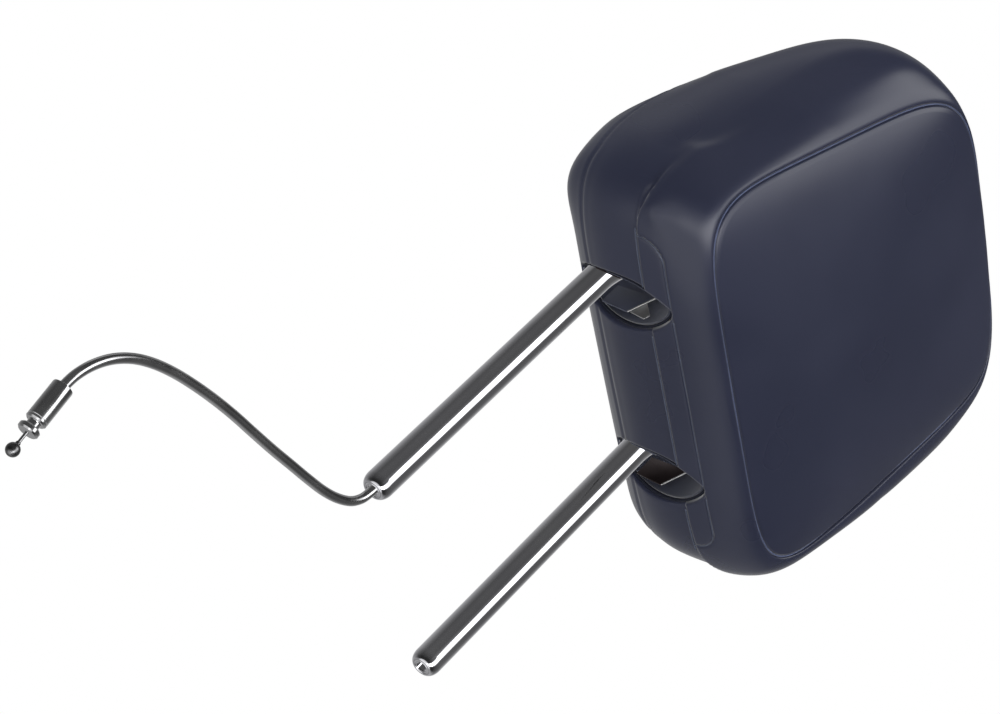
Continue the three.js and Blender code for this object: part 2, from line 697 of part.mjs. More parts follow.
function bush(side) {
  const x0 = side * BUSH_X - BUSH_LENGTH / 2;
  const x1 = x0 + BUSH_LENGTH;
  const ring = solid(barX(bushRadius, x0, x1, 0, 0, 28));
  const bore = solid(barX(runningRadius, x0 - 1, x1 + 1, 0, 0, 28));
  return splitFrame(geometryOf(ring.subtract(bore)));
}

// Folded steel stop inside the mouth of each slot: a face that the leg meets at full tilt, with two
// cheeks that stand on the core's front wall.
function stopBracket(side) {
  const lean = THREE.MathUtils.degToRad(CORE_FRONT_LEAN);
  const x0 = side * postX - STOP_WIDTH / 2;
  const x1 = x0 + STOP_WIDTH;
  const bottom = CORE_BOTTOM + STOP_SHEET;
  const top = (PIVOT_Z - bottom) / Math.cos(lean) - STOP_HEIGHT;
  const tiltedLeg = legLean - THREE.MathUtils.degToRad(TILT_RANGE);
  const wallDistance = (CORE_FRONT_ROOM - CORE_WALL) * Math.cos(lean);
  const depth = wallDistance - tubeRadius + top * Math.sin(tiltedLeg - lean) - 3 * GAP;
  const face = block(x0, x1, depth - STOP_SHEET, depth, 0, STOP_HEIGHT);
  const cheek = polygon([
    [0, STOP_HEIGHT * 0.2], [depth - STOP_SHEET, 0], [depth, 0],
    [depth, STOP_HEIGHT], [0, STOP_HEIGHT],
  ]);
  const left = alongX(cheek, x0, x0 + STOP_SHEET);
  const right = alongX(cheek, x1 - STOP_SHEET, x1);
  const folded = joined(solid(face), solid(left), solid(right));
  const wall = PIVOT_Y - CORE_FRONT_ROOM + CORE_WALL + GAP - Math.tan(lean) * (bottom - PIVOT_Z);
  return moved(geometryOf(folded).rotateX(lean), 0, wall, bottom);
}

// Rubber buffer on the rear wall that each leg rests against when the cushion is upright.
function restBuffer(side) {
  const lean = THREE.MathUtils.degToRad(CORE_BACK_LEAN);
  const innerFace = PIVOT_Y + CORE_BACK_ROOM - CORE_WALL / Math.cos(lean) - GAP;
  const wall = innerFace - Math.tan(lean) * (BUFFER_HEIGHT - PIVOT_Z);
  const legFace = (tubeRadius + GAP) / Math.cos(legLean);
  const leg = legFace - Math.tan(legLean) * (BUFFER_HEIGHT - BEND_HEIGHT);
  const length = wall - leg - BUFFER_CLEARANCE;
  const foot = BUFFER_DIAMETER / 2;
  const button = new THREE.CylinderGeometry(foot * 0.8, foot, length, 16).rotateX(Math.PI);
  moved(button, 0, -length / 2, 0);
  return moved(button.rotateX(lean), side * postX, wall - GAP / 3, BUFFER_HEIGHT);
}

// Covers and foam.
const bellyRear = behind(BELLY_LOOP, GAP / 2);
const bellyFrontCut = behind(BELLY_LOOP, -GAP / 2);

function frontShell() {
  const skin = cushionSolid(0).subtract(cushionSolid(COVER_THICKNESS));
  return skin.subtract(bellyFrontCut).subtract(slots);
}

function rearShell() {
  const skin = cushionSolid(REAR_STEP).subtract(cushionSolid(REAR_STEP + COVER_THICKNESS));
  return skin.intersect(bellyRear).subtract(slots);
}

// Plan of the flap that closes the cover on the underside.
function flapCutter(grow) {
  const slope = Math.tan(THREE.MathUtils.degToRad(BELLY_LOOP.lean));
  const rear = BELLY_LOOP.y - slope * (BELLY_LOOP.low - PLANE_HEIGHT) - GAP / 2;
  const half = FLAP_HALF_LENGTH + grow;
  const front = rear - FLAP_DEPTH - grow;
  const plan = roundedRectangle(-half, half, front, rear + FLAP_DEPTH, FLAP_CORNER);
  return solid(alongZ(plan, SLOT_START, BELLY_LOOP.low + UNDERSIDE_DEPTH, 4));
}

// Everything within the front seam's outline.
function panelRoom(grow) {
  return loopPrism(SEAM_LOOP, grow, -PANEL_ROOM, SEAM_ROOM);
}

// Everything within the rear seam's outline.
function backRoom(grow) {
  return loopPrism(BACK_LOOP, grow - REAR_STEP, -SEAM_ROOM, PANEL_ROOM);
}

function coverFront() {
  return frontShell().intersect(panelRoom(-GAP / 2));
}

function coverSide() {
  return frontShell().subtract(panelRoom(GAP / 2)).subtract(flapCutter(GAP / 2));
}

function undersideFlap() {
  return frontShell().subtract(panelRoom(GAP / 2)).intersect(flapCutter(-GAP / 2));
}

function coverRear() {
  return rearShell().subtract(backRoom(GAP / 2));
}

function coverBack() {
  return rearShell().intersect(backRoom(-GAP / 2));
}

const coreRoom = coreBody(-GAP, CORE_BOTTOM - 2 * GAP);

function foamFront() {
  const inner = cushionSolid(COVER_THICKNESS + GAP);
  return inner.subtract(bellyFrontCut).subtract(coreRoom).subtract(slots);
}

function foamRear() {
  const inner = cushionSolid(REAR_STEP + COVER_THICKNESS + GAP);
  return inner.intersect(bellyRear).subtract(coreRoom).subtract(slots);
}

// Cable: free sheath, ferrule, and the wire with its ball.
const routePoints = CABLE_ROUTE.map(([x, y, z]) => new THREE.Vector3(x, y, z));
const ferruleFace = FERRULE_LENGTH - FERRULE_SOCKET + FERRULE_NECK + FLANGE_THICKNESS;
const routeEnd = routePoints[routePoints.length - 1];
const wireDirection = routeEnd.clone().sub(routePoints[routePoints.length - 2]).normalize();

// Lays a piece that is drawn along +Z at a distance past the end of the sheath.
function atCableEnd(geometry, distance) {
  const turn = new THREE.Quaternion().setFromUnitVectors(new THREE.Vector3(0, 0, 1), wireDirection);
  geometry.applyQuaternion(turn);
  const place = routeEnd.clone().addScaledVector(wireDirection, distance);
  return moved(geometry, place.x, place.y, place.z);
}

function sheathFerrule() {
  const barrel = FERRULE_DIAMETER / 2;
  const socket = SHEATH_DIAMETER / 2 + GAP;
  const hole = WIRE_DIAMETER / 2 + GAP + 0.15;
  const neck = FERRULE_NECK_DIAMETER / 2;
  const edge = 0.6;
  const mouth = -FERRULE_SOCKET;
  const barrelEnd = FERRULE_LENGTH - FERRULE_SOCKET;
  const neckEnd = barrelEnd + FERRULE_NECK;
  const profile = [
    [socket, mouth], [barrel - edge, mouth], [barrel, mouth + edge],
    [barrel, barrelEnd - edge], [barrel - edge, barrelEnd],
    [neck, barrelEnd], [neck, neckEnd], [barrel - edge, neckEnd], [barrel, neckEnd + edge],
    [barrel, ferruleFace - edge], [barrel - edge, ferruleFace], [hole, ferruleFace],
    [hole, GAP], [socket, GAP], [socket, mouth],
  ];
  const turned = new THREE.LatheGeometry(profile.map(([r, z]) => new THREE.Vector2(r, z)), 20);
  return atCableEnd(turned.rotateX(Math.PI / 2), 0);
}

const armature = new THREE.Group();
const release = new THREE.Group();
const cable = new THREE.Group();
const cushion = new THREE.Group();
model.add(armature, release, cable, cushion);

add(armature, 'stay_tube', geometryOf(stayTube()), CHROME);
add(armature, 'lever_bracket', crossbarFrame(geometryOf(leverBracket())), STEEL);
add(armature, 'clutch_spring', clutchSpring(), STEEL);
add(armature, 'inner_sheath', sweep(innerRoute(), SHEATH_DIAMETER / 2, 8), STEEL);
add(armature, 'cable_sheath', sweep(routePoints, SHEATH_DIAMETER / 2, 8), CHROME);
add(armature, 'sheath_ferrule', sheathFerrule(), CHROME);

const leverSides = [LEVER_X - LEVER_WIDTH / 2, LEVER_X + LEVER_WIDTH / 2];
const nipple = barX(NIPPLE_DIAMETER / 2, ...leverSides, -LEVER_ARM, 0, 16);
const wireRun = [-CONDUIT_END - BRACKET_SHEET, -NIPPLE_DIAMETER / 2 - GAP];
const upperWire = barZ(WIRE_DIAMETER / 2, ...wireRun, LEVER_X, -LEVER_ARM, 8);
add(release, 'release_lever', releaseLever(), STEEL);
add(release, 'cable_nipple', crossbarFrame(nipple), STEEL);
add(release, 'upper_wire', crossbarFrame(upperWire), STEEL);

const ballDistance = ferruleFace + BALL_REACH;
const wireEnd = ballDistance - BALL_DIAMETER / 2 - GAP;
const pullWire = barZ(WIRE_DIAMETER / 2, WIRE_START, wireEnd, 0, 0, 10);
const wireBall = new THREE.SphereGeometry(BALL_DIAMETER / 2, 16, 10);
add(cable, 'pull_wire', atCableEnd(pullWire, 0), STEEL);
add(cable, 'wire_ball', atCableEnd(wireBall, ballDistance), CHROME);

add(cushion, 'core_front', geometryOf(coreHalf(true)), PLASTIC);
add(cushion, 'core_rear', geometryOf(coreHalf(false)), PLASTIC);
bossPlaces.forEach((place, i) => add(cushion, `core_screw_${i + 1}`, coreScrew(place), STEEL));
add(cushion, 'bush_left', bush(-1), NYLON);
add(cushion, 'bush_right', bush(1), NYLON);
add(cushion, 'clutch_drum', splitFrame(geometryOf(clutchDrum())), STEEL);
add(cushion, 'stop_bracket_left', stopBracket(-1), STEEL);
add(cushion, 'stop_bracket_right', stopBracket(1), STEEL);
add(cushion, 'rest_buffer_left', restBuffer(-1), RUBBER);
add(cushion, 'rest_buffer_right', restBuffer(1), RUBBER);
add(cushion, 'foam_front', geometryOf(foamFront()), FOAM);
add(cushion, 'foam_rear', geometryOf(foamRear()), FOAM);
add(cushion, 'cover_front', geometryOf(coverFront()), LEATHER);
add(cushion, 'cover_side', geometryOf(coverSide()), LEATHER);
add(cushion, 'cover_rear', geometryOf(coverRear()), LEATHER);
add(cushion, 'cover_back', geometryOf(coverBack()), LEATHER);
add(cushion, 'underside_flap', geometryOf(undersideFlap()), LEATHER);

export default model;
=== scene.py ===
"""A car headrest: a padded leather cushion on a bent chrome stay tube, with a release cable.

Metres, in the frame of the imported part: the origin lies midway between the lower ends of the two
posts, +Z runs up along the posts and -Y is the side that the head touches.
"""
import logging
import math
from dataclasses import dataclass, field
from enum import Enum
from functools import cache
from typing import Callable, Iterable, Sequence

import bpy
import numpy as np
from mathutils import Matrix, Vector
from mathutils.kdtree import KDTree


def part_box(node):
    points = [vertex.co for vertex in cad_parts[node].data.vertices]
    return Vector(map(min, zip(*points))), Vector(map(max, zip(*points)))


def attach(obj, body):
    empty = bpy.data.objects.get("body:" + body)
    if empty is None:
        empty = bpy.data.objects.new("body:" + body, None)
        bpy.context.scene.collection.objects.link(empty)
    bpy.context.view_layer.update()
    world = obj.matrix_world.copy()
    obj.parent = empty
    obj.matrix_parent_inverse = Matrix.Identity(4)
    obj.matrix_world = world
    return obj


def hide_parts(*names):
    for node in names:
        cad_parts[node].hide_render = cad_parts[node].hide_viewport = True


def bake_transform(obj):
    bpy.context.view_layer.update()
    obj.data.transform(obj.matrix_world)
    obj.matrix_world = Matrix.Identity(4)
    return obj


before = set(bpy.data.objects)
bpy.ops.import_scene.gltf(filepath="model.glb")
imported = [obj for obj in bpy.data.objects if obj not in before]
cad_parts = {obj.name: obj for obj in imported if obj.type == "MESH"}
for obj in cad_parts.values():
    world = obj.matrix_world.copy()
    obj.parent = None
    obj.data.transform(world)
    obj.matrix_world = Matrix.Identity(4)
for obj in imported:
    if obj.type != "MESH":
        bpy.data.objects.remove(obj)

LOG = logging.getLogger("headrest")
MM = 0.001
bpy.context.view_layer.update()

Point = tuple[float, float, float]
Colour = tuple[float, float, float]
Stops = tuple[tuple[float, float], ...]


# Workbench: the modelling steps that every piece uses.


def deselect() -> None:
    """Leaves object mode with nothing selected."""
    if bpy.context.mode != "OBJECT":
        bpy.ops.object.mode_set(mode="OBJECT")
    bpy.ops.object.select_all(action="DESELECT")


def hold(piece: bpy.types.Object) -> None:
    """Makes one object the only selected and the active one.

    Args:
        piece: The object.
    """
    deselect()
    piece.select_set(True)
    bpy.context.view_layer.objects.active = piece


def name_piece(name: str) -> bpy.types.Object:
    """Names the object that was just made, and its mesh.

    Args:
        name: The piece's name.

    Returns:
        The object.
    """
    piece = bpy.context.active_object
    piece.name = name
    piece.data.name = name
    return piece


def settle(piece: bpy.types.Object, place: Matrix | None = None) -> bpy.types.Object:
    """Puts a piece in its place and moves that place into its mesh.

    Args:
        piece: The object, modelled about its own origin.
        place: Where it goes, or None where it is in place already.

    Returns:
        The same object, at the origin and unturned.
    """
    hold(piece)
    if place is not None:
        piece.matrix_world = place @ piece.matrix_world
    bpy.ops.object.transform_apply(location=True, rotation=True, scale=True)
    return piece


def apply_modifiers(piece: bpy.types.Object) -> None:
    """Applies all modifiers of a piece, in their order.

    Args:
        piece: The object.
    """
    hold(piece)
    for modifier in list(piece.modifiers):
        bpy.ops.object.modifier_apply(modifier=modifier.name)


def smooth(piece: bpy.types.Object, degrees: float = 35) -> None:
    """Shades a piece smooth, with sharp edges above an angle.

    Args:
        piece: The object.
        degrees: The angle.
    """
    hold(piece)
    bpy.ops.object.shade_smooth_by_angle(angle=math.radians(degrees))


def facing_out(piece: bpy.types.Object, merge: float = 1e-6) -> None:
    """Merges a piece's doubled points and turns its faces outwards.

    Args:
        piece: The object.
        merge: How close doubled points lie.
    """
    hold(piece)
    bpy.ops.object.mode_set(mode="EDIT")
    bpy.ops.mesh.select_all(action="SELECT")
    bpy.ops.mesh.remove_doubles(threshold=merge)
    bpy.ops.mesh.normals_make_consistent(inside=False)
    bpy.ops.object.mode_set(mode="OBJECT")


def frame_along(origin: Point, direction: Point) -> Matrix:
    """A frame at a point whose Z runs along a direction.

    Args:
        origin: The frame's place.
        direction: Where its Z points.

    Returns:
        The frame as a matrix.
    """
    turn = Vector((0, 0, 1)).rotation_difference(Vector(direction).normalized())
    return Matrix.Translation(Vector(origin)) @ turn.to_matrix().to_4x4()


def push(step: Point | Vector) -> None:
    """Extrudes what is selected, in edit mode, by a step."""
    bpy.ops.mesh.extrude_region_move(TRANSFORM_OT_translate={"value": step})


def ring_steps(profile: Sequence[tuple[float, float]], x: float = 0.0) -> None:
    """Extrudes the selected ring through a turned profile, in edit mode.

    Args:
        profile: Radius and height of each ring; the first is where the ring is now.
        x: Where the axis stands.
    """
    for (r0, z0), (r1, z1) in zip(profile, profile[1:]):
        push((0, 0, z1 - z0))
        if abs(r1 - r0) > 1e-9:
            share = r1 / r0
            bpy.ops.transform.resize(value=(share, share, 1), center_override=(x, 0, z1))


def turned(
    name: str, profile: Sequence[tuple[float, float]], sides: int, place: Matrix
) -> bpy.types.Object:
    """Turns a closed piece from its profile, as on a lathe.

    Args:
        name: The piece's name.
        profile: Radius and height of each ring, from one end round to the other.
        sides: Number of sides.
        place: The frame that it is turned in, about its Z.

    Returns:
        The piece, in its place.
    """
    deselect()
    bpy.ops.mesh.primitive_circle_add(
        vertices=sides, radius=profile[0][0], fill_type="NOTHING", location=(0, 0, profile[0][1])
    )
    piece = name_piece(name)
    settle(piece)
    bpy.ops.object.mode_set(mode="EDIT")
    bpy.ops.mesh.select_all(action="SELECT")
    ring_steps(profile)
    bpy.ops.object.mode_set(mode="OBJECT")
    if math.dist(profile[0], profile[-1]) > 1e-9:
        close_ends(piece)
    facing_out(piece)
    return settle(piece, place)


def close_ends(piece: bpy.types.Object) -> None:
    """Fills the open ends of a piece with flat faces.

    Args:
        piece: The object.
    """
    hold(piece)
    bpy.ops.object.mode_set(mode="EDIT")
    bpy.ops.mesh.select_all(action="DESELECT")
    bpy.ops.mesh.select_mode(type="EDGE")
    bpy.ops.mesh.select_non_manifold()
    bpy.ops.mesh.edge_face_add()
    bpy.ops.mesh.select_mode(type="VERT")
    bpy.ops.object.mode_set(mode="OBJECT")


def mesh_piece(name: str, points: np.ndarray, faces: Iterable[Sequence[int]]) -> bpy.types.Object:
    """Makes an object from points and faces, for the padded pieces.

    Args:
        name: The piece's name.
        points: Its points, in metres.
        faces: Its faces, as lists of point numbers.

    Returns:
        The object, shaded smooth.
    """
    mesh = bpy.data.meshes.new(name)
    mesh.from_pydata(points.tolist(), [], [list(map(int, f)) for f in faces])
    mesh.update()
    mesh.shade_smooth()
    piece = bpy.data.objects.new(name, mesh)
    bpy.context.scene.collection.objects.link(piece)
    return piece


def grid_faces(count: int, high: int) -> list[Sequence[int]]:
    """Faces of a closed surface of columns that meet again, with a flat face at either end.

    Args:
        count: Number of columns.
        high: Number of rows.

    Returns:
        The faces, as lists of point numbers.
    """
    faces = []
    for i in range(count):
        a, b = i * high, (i + 1) % count * high
        faces += [(a + j, b + j, b + j + 1, a + j + 1) for j in range(high - 1)]
    return [*faces, [i * high for i in range(count)][::-1], [i * high + high - 1 for i in range(count)]]


def subtract(piece: bpy.types.Object, cutter: bpy.types.Object) -> None:
    """Cuts one object out of another and removes it.

    Args:
        piece: The object that stays.
        cutter: The object that is cut out.
    """
    cut = piece.modifiers.new("cut", "BOOLEAN")
    cut.operation = "DIFFERENCE"
    cut.solver = "EXACT"
    cut.object = cutter
    apply_modifiers(piece)
    bpy.data.objects.remove(cutter)


# Finishes: shared effects as node groups, and one material for each finish.


class Sheet:
    """A node tree that is being drawn."""

    def __init__(self, tree: bpy.types.NodeTree) -> None:
        """Starts on a tree."""
        self.tree = tree

    def add(self, kind: str, **settings: object) -> bpy.types.Node:
        """Adds a node.

        Args:
            kind: The node's type.
            settings: Its properties by name.

        Returns:
            The node.
        """
        node = self.tree.nodes.new(kind)
        for key, value in settings.items():
            setattr(node, key, value)
        return node

    def link(self, out: bpy.types.NodeSocket, into: bpy.types.NodeSocket) -> None:
        """Joins an output to an input."""
        self.tree.links.new(out, into)

    def math(self, operation: str, *values: object) -> bpy.types.NodeSocket:
        """Adds a sum.

        Args:
            operation: What is done.
            values: Sockets or numbers.

        Returns:
            The result's socket.
        """
        node = self.add("ShaderNodeMath", operation=operation)
        for socket, value in zip(node.inputs, values):
            if isinstance(value, bpy.types.NodeSocket):
                self.link(value, socket)
            else:
                socket.default_value = value
        return node.outputs[0]

    def pattern(self, kind: str, into: bpy.types.Node, **settings: object) -> bpy.types.Node:
        """Adds a pattern over the object, at the scale that the group is given.

        Args:
            kind: The node's type.
            into: The group's input node.
            settings: Values of its sockets by name.

        Returns:
            The node.
        """
        node = self.add(kind)
        place = self.add("ShaderNodeTexCoord")
        self.link(place.outputs["Object"], node.inputs["Vector"])
        self.link(into.outputs["Scale"], node.inputs["Scale"])
        for name, value in settings.items():
            node.inputs[name].default_value = value
        return node

    def ramp(self, value: bpy.types.NodeSocket, stops: Stops) -> bpy.types.NodeSocket:
        """Adds a ramp of greys.

        Args:
            value: What it reads, from 0 to 1.
            stops: Place and grey of each stop.

        Returns:
            The colour's socket.
        """
        node = self.add("ShaderNodeValToRGB")
        elements = node.color_ramp.elements
        while len(elements) < len(stops):
            elements.new(0.5)
        for element, (place, tone) in zip(elements, stops):
            element.position = place
            element.color = (tone, tone, tone, 1)
        self.link(value, node.inputs["Fac"])
        return node.outputs["Color"]


def new_group(
    name: str, inputs: Sequence[tuple[str, str, object]], outputs: Sequence[tuple[str, str]]
) -> tuple:
    """Starts a node group with named sockets.

    Args:
        name: The group's name.
        inputs: Name, kind and default of each input.
        outputs: Name and kind of each output.

    Returns:
        The group, its sheet, its input node and its output node.
    """
    group = bpy.data.node_groups.new(name, "ShaderNodeTree")
    for label, kind, default in inputs:
        socket = group.interface.new_socket(name=label, in_out="INPUT", socket_type=kind)
        socket.default_value = default
    for label, kind in outputs:
        group.interface.new_socket(name=label, in_out="OUTPUT", socket_type=kind)
    sheet = Sheet(group)
    return group, sheet, sheet.add("NodeGroupInput"), sheet.add("NodeGroupOutput")


class Effects:
    """The effects that several finishes share, each built once."""

    @staticmethod
    @cache
    def drift() -> bpy.types.NodeTree:
        """A slow change between two colours and two roughnesses over the surface.

        Returns:
            The group.
        """
        group, sheet, into, out = new_group(
            "slow_drift",
            [
                ("Scale", "NodeSocketFloat", 20.0),
                ("Light", "NodeSocketColor", (1, 1, 1, 1)),
                ("Dark", "NodeSocketColor", (0, 0, 0, 1)),
                ("Rough Low", "NodeSocketFloat", 0.3),
                ("Rough High", "NodeSocketFloat", 0.4),
            ],
            [("Color", "NodeSocketColor"), ("Roughness", "NodeSocketFloat")],
        )
        broad = sheet.pattern("ShaderNodeTexNoise", into, Detail=3)
        mask = sheet.add("ShaderNodeMapRange", interpolation_type="SMOOTHSTEP")
        mask.inputs["From Min"].default_value = 0.35
        mask.inputs["From Max"].default_value = 0.65
        sheet.link(broad.outputs["Fac"], mask.inputs["Value"])
        for kind, low, high, first, result in (
            ("RGBA", "Dark", "Light", 6, "Color"), ("FLOAT", "Rough Low", "Rough High", 2, "Roughness"),
        ):
            mix = sheet.add("ShaderNodeMix", data_type=kind)
            sheet.link(mask.outputs["Result"], mix.inputs["Factor"])
            sheet.link(into.outputs[low], mix.inputs[first])
            sheet.link(into.outputs[high], mix.inputs[first + 1])
            sheet.link(mix.outputs[2 if kind == "RGBA" else 0], out.inputs[result])
        return group

    @staticmethod
    @cache
    def pores() -> bpy.types.NodeTree:
        """The fine cell pattern of leather or of a moulded surface, as a height.

        Returns:
            The group.
        """
        group, sheet, into, out = new_group(
            "fine_pores", [("Scale", "NodeSocketFloat", 900.0)], [("Height", "NodeSocketFloat")]
        )
        cells = sheet.pattern("ShaderNodeTexVoronoi", into, Randomness=0.9)
        cells.feature = "SMOOTH_F1"
        fine = sheet.pattern("ShaderNodeTexNoise", into, Detail=4)
        wave = sheet.math("MULTIPLY", fine.outputs["Fac"], 0.3)
        sheet.link(sheet.math("ADD", cells.outputs["Distance"], wave), out.inputs["Height"])
        return group

    @staticmethod
    @cache
    def scuffs() -> bpy.types.NodeTree:
        """Hairline scuffs along a piece, as a mask.

        Returns:
            The group.
        """
        group, sheet, into, out = new_group(
            "hairline_scuffs",
            [("Scale", "NodeSocketFloat", 60.0), ("Stretch", "NodeSocketVector", (1.0, 1.0, 0.05))],
            [("Mask", "NodeSocketFloat")],
        )
        lines = sheet.pattern("ShaderNodeTexNoise", into, Detail=6, Roughness=0.7)
        stretch = sheet.add("ShaderNodeVectorMath", operation="MULTIPLY")
        sheet.link(lines.inputs["Vector"].links[0].from_socket, stretch.inputs[0])
        sheet.link(into.outputs["Stretch"], stretch.inputs[1])
        sheet.link(stretch.outputs[0], lines.inputs["Vector"])
        sheet.link(lines.outputs["Fac"], out.inputs["Mask"])
        return group


def drifting(
    sheet: Sheet,
    shader: bpy.types.Node,
    scale: float,
    light: Colour,
    dark: Colour,
    rough: tuple[float, float],
) -> None:
    """Lets a material's colour and roughness drift over the surface.

    Args:
        sheet: The material's tree.
        shader: Its shader.
        scale: The scale of the drift.
        light: The light colour.
        dark: The dark colour.
        rough: The lowest and the highest roughness.
    """
    drift = sheet.add("ShaderNodeGroup", node_tree=Effects.drift())
    values = {"Scale": scale, "Light": (*light, 1), "Dark": (*dark, 1)}
    values["Rough Low"], values["Rough High"] = rough
    for name, value in values.items():
        drift.inputs[name].default_value = value
    sheet.link(drift.outputs["Color"], shader.inputs["Base Color"])
    sheet.link(drift.outputs["Roughness"], shader.inputs["Roughness"])


@dataclass(frozen=True)
class Finish:
    """A finish: its name, the record's material slot, its colours and how rough it is."""

    name: str
    slot: str
    light: Colour
    dark: Colour
    rough: tuple[float, float] = (0.3, 0.4)
    drift_scale: float = 18.0
    metallic: float = 0.0
    pore_scale: float = 0.0
    pore_depth: float = 0.0
    scuff_depth: float = 0.0
    specular: float = 0.5
    unmirrored: bool = False

    def material(self) -> bpy.types.Material:
        """Builds the material, the first time.

        Returns:
            The material.
        """
        made = bpy.data.materials.get(self.name)
        if made is not None:
            return made
        made = bpy.data.materials.new(self.name)
        made.use_nodes = True
        sheet = Sheet(made.node_tree)
        shader = made.node_tree.nodes["Principled BSDF"]
        drifting(sheet, shader, self.drift_scale, self.light, self.dark, self.rough)
        shader.inputs["Metallic"].default_value = self.metallic
        shader.inputs["Specular IOR Level"].default_value = self.specular
        if self.unmirrored:
            path = sheet.add("ShaderNodeLightPath")
            sheet.link(sheet.math("SUBTRACT", 1.0, path.outputs["Is Glossy Ray"]), shader.inputs["Alpha"])
        self._relief(sheet, shader)
        return made

    def _relief(self, sheet: Sheet, shader: bpy.types.Node) -> None:
        """Adds the fine relief of the surface: pores, then scuffs.

        Args:
            sheet: The material's tree.
            shader: Its shader.
        """
        reliefs = []
        if self.pore_depth:
            pores = sheet.add("ShaderNodeGroup", node_tree=Effects.pores())
            pores.inputs["Scale"].default_value = self.pore_scale
            reliefs.append((pores, self.pore_depth))
        if self.scuff_depth:
            reliefs.append((sheet.add("ShaderNodeGroup", node_tree=Effects.scuffs()), self.scuff_depth))
        into = shader.inputs["Normal"]
        for height, depth in reversed(reliefs):
            bump = sheet.add("ShaderNodeBump")
            bump.inputs["Strength"].default_value = 1.0
            bump.inputs["Distance"].default_value = depth * MM
            sheet.link(height.outputs[0], bump.inputs["Height"])
            sheet.link(bump.outputs["Normal"], into)
            into = bump.inputs["Normal"]

    def dress(self, piece: bpy.types.Object) -> None:
        """Gives the finish to a new piece.

        Args:
            piece: The piece.
        """
        piece.data.materials.clear()
        piece.data.materials.append(self.material())

    def dress_node(self, name: str) -> None:
        """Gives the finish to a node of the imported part.

        Args:
            name: The node's name.
        """
        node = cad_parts[name]
        if not node.material_slots:
            node.data.materials.append(self.material())
        for place in node.material_slots:
            place.material = self.material()


LEATHER = Finish(
    "navy_leather", "cover_leather", (0.0318, 0.0364, 0.0700), (0.0273, 0.0316, 0.0620),
    rough=(0.27, 0.34), drift_scale=9, pore_scale=1400, pore_depth=0.015,
)
# Lining of the slots: the leather's navy made about twice as light, as painted light, so that the wall in the
# slot's shade looks lit.
PAINTED_LIGHT_LINING = Finish(
    "slot_lining_painted_light", "cover_leather", (0.075, 0.084, 0.125), (0.060, 0.068, 0.102),
    rough=(0.4, 0.5), drift_scale=30, pore_scale=900, pore_depth=0.02,
)
# Seam thread: light blue, partly the thread's own colour and partly a painted highlight along the seam.
THREAD_WITH_HIGHLIGHT = Finish(
    "seam_thread_with_highlight", "cover_leather", (0.105, 0.130, 0.240), (0.080, 0.102, 0.195),
    rough=(0.4, 0.5), drift_scale=300, pore_scale=1800, pore_depth=0.03,
)
# Beads along the flap's edge and the step: coloured lighter than the leather as a painted highlight on the
# edges.
HIGHLIGHT_BEAD = Finish(
    "edge_bead_painted_highlight", "cover_leather", (0.080, 0.098, 0.155), (0.060, 0.075, 0.122),
    rough=(0.35, 0.45), drift_scale=120, pore_scale=1800, pore_depth=0.02,
)
CHROME = Finish(
    "post_chrome", "stay_chrome", (0.785, 0.785, 0.82), (0.745, 0.745, 0.785),
    rough=(0.06, 0.10), drift_scale=25, metallic=1, scuff_depth=0.002,
)
SHEATH = Finish(
    "sheath_steel", "cable_steel", (0.60, 0.60, 0.61), (0.50, 0.50, 0.51),
    rough=(0.14, 0.22), drift_scale=60, metallic=1, scuff_depth=0.004, unmirrored=True,
)
FITTING = Finish(
    "turned_steel", "cable_steel", (0.62, 0.62, 0.63), (0.52, 0.52, 0.53),
    rough=(0.12, 0.2), drift_scale=80, metallic=1, scuff_depth=0.004, unmirrored=True,
)
BALL = Finish(
    "ball_steel", "cable_steel", (0.22, 0.22, 0.225), (0.17, 0.17, 0.175),
    rough=(0.25, 0.33), drift_scale=150, metallic=1, pore_scale=2500, pore_depth=0.008,
)
PRESSED = Finish(
    "pressed_steel", "fitting_steel", (0.62, 0.61, 0.60), (0.45, 0.44, 0.43),
    rough=(0.25, 0.38), drift_scale=60, metallic=1, scuff_depth=0.01, unmirrored=True,
)
# Dark brown metal for the outer post guides.
GUIDE = Finish(
    "dark_brown_steel", "fitting_steel", (0.088, 0.068, 0.070), (0.060, 0.045, 0.047),
    rough=(0.25, 0.35), drift_scale=70, metallic=1, scuff_depth=0.006,
)
BARE = Finish(
    "bare_sheet_steel", "fitting_steel", (0.60, 0.60, 0.61), (0.48, 0.48, 0.49),
    rough=(0.28, 0.36), drift_scale=90, metallic=1, scuff_depth=0.006,
)
# Near-black bead round each slot's mouth: painted shadow in the gap between the cover's hem and the sleeve.
SHADOW_BEAD = Finish(
    "painted_shadow_bead", "cover_leather", (0.017, 0.019, 0.031), (0.012, 0.014, 0.024),
    rough=(0.75, 0.85), drift_scale=80, pore_scale=1500, pore_depth=0.02, specular=0.15,
)
SPRING = Finish(
    "spring_wire", "spring_steel", (0.42, 0.42, 0.43), (0.30, 0.30, 0.31),
    rough=(0.22, 0.3), drift_scale=120, metallic=1, scuff_depth=0.004,
)
MOULDING = Finish(
    "black_moulding", "core_plastic", (0.022, 0.023, 0.026), (0.016, 0.017, 0.02),
    rough=(0.45, 0.6), drift_scale=40, pore_scale=700, pore_depth=0.05, unmirrored=True,
)
NYLON = Finish(
    "pale_nylon", "bush_nylon", (0.62, 0.60, 0.54), (0.52, 0.50, 0.44),
    rough=(0.4, 0.5), drift_scale=90, pore_scale=1500, pore_depth=0.01, unmirrored=True,
)
RUBBER = Finish(
    "buffer_rubber", "buffer_rubber", (0.022, 0.022, 0.022), (0.014, 0.014, 0.014),
    rough=(0.7, 0.85), drift_scale=120, pore_scale=1800, pore_depth=0.03, unmirrored=True,
)
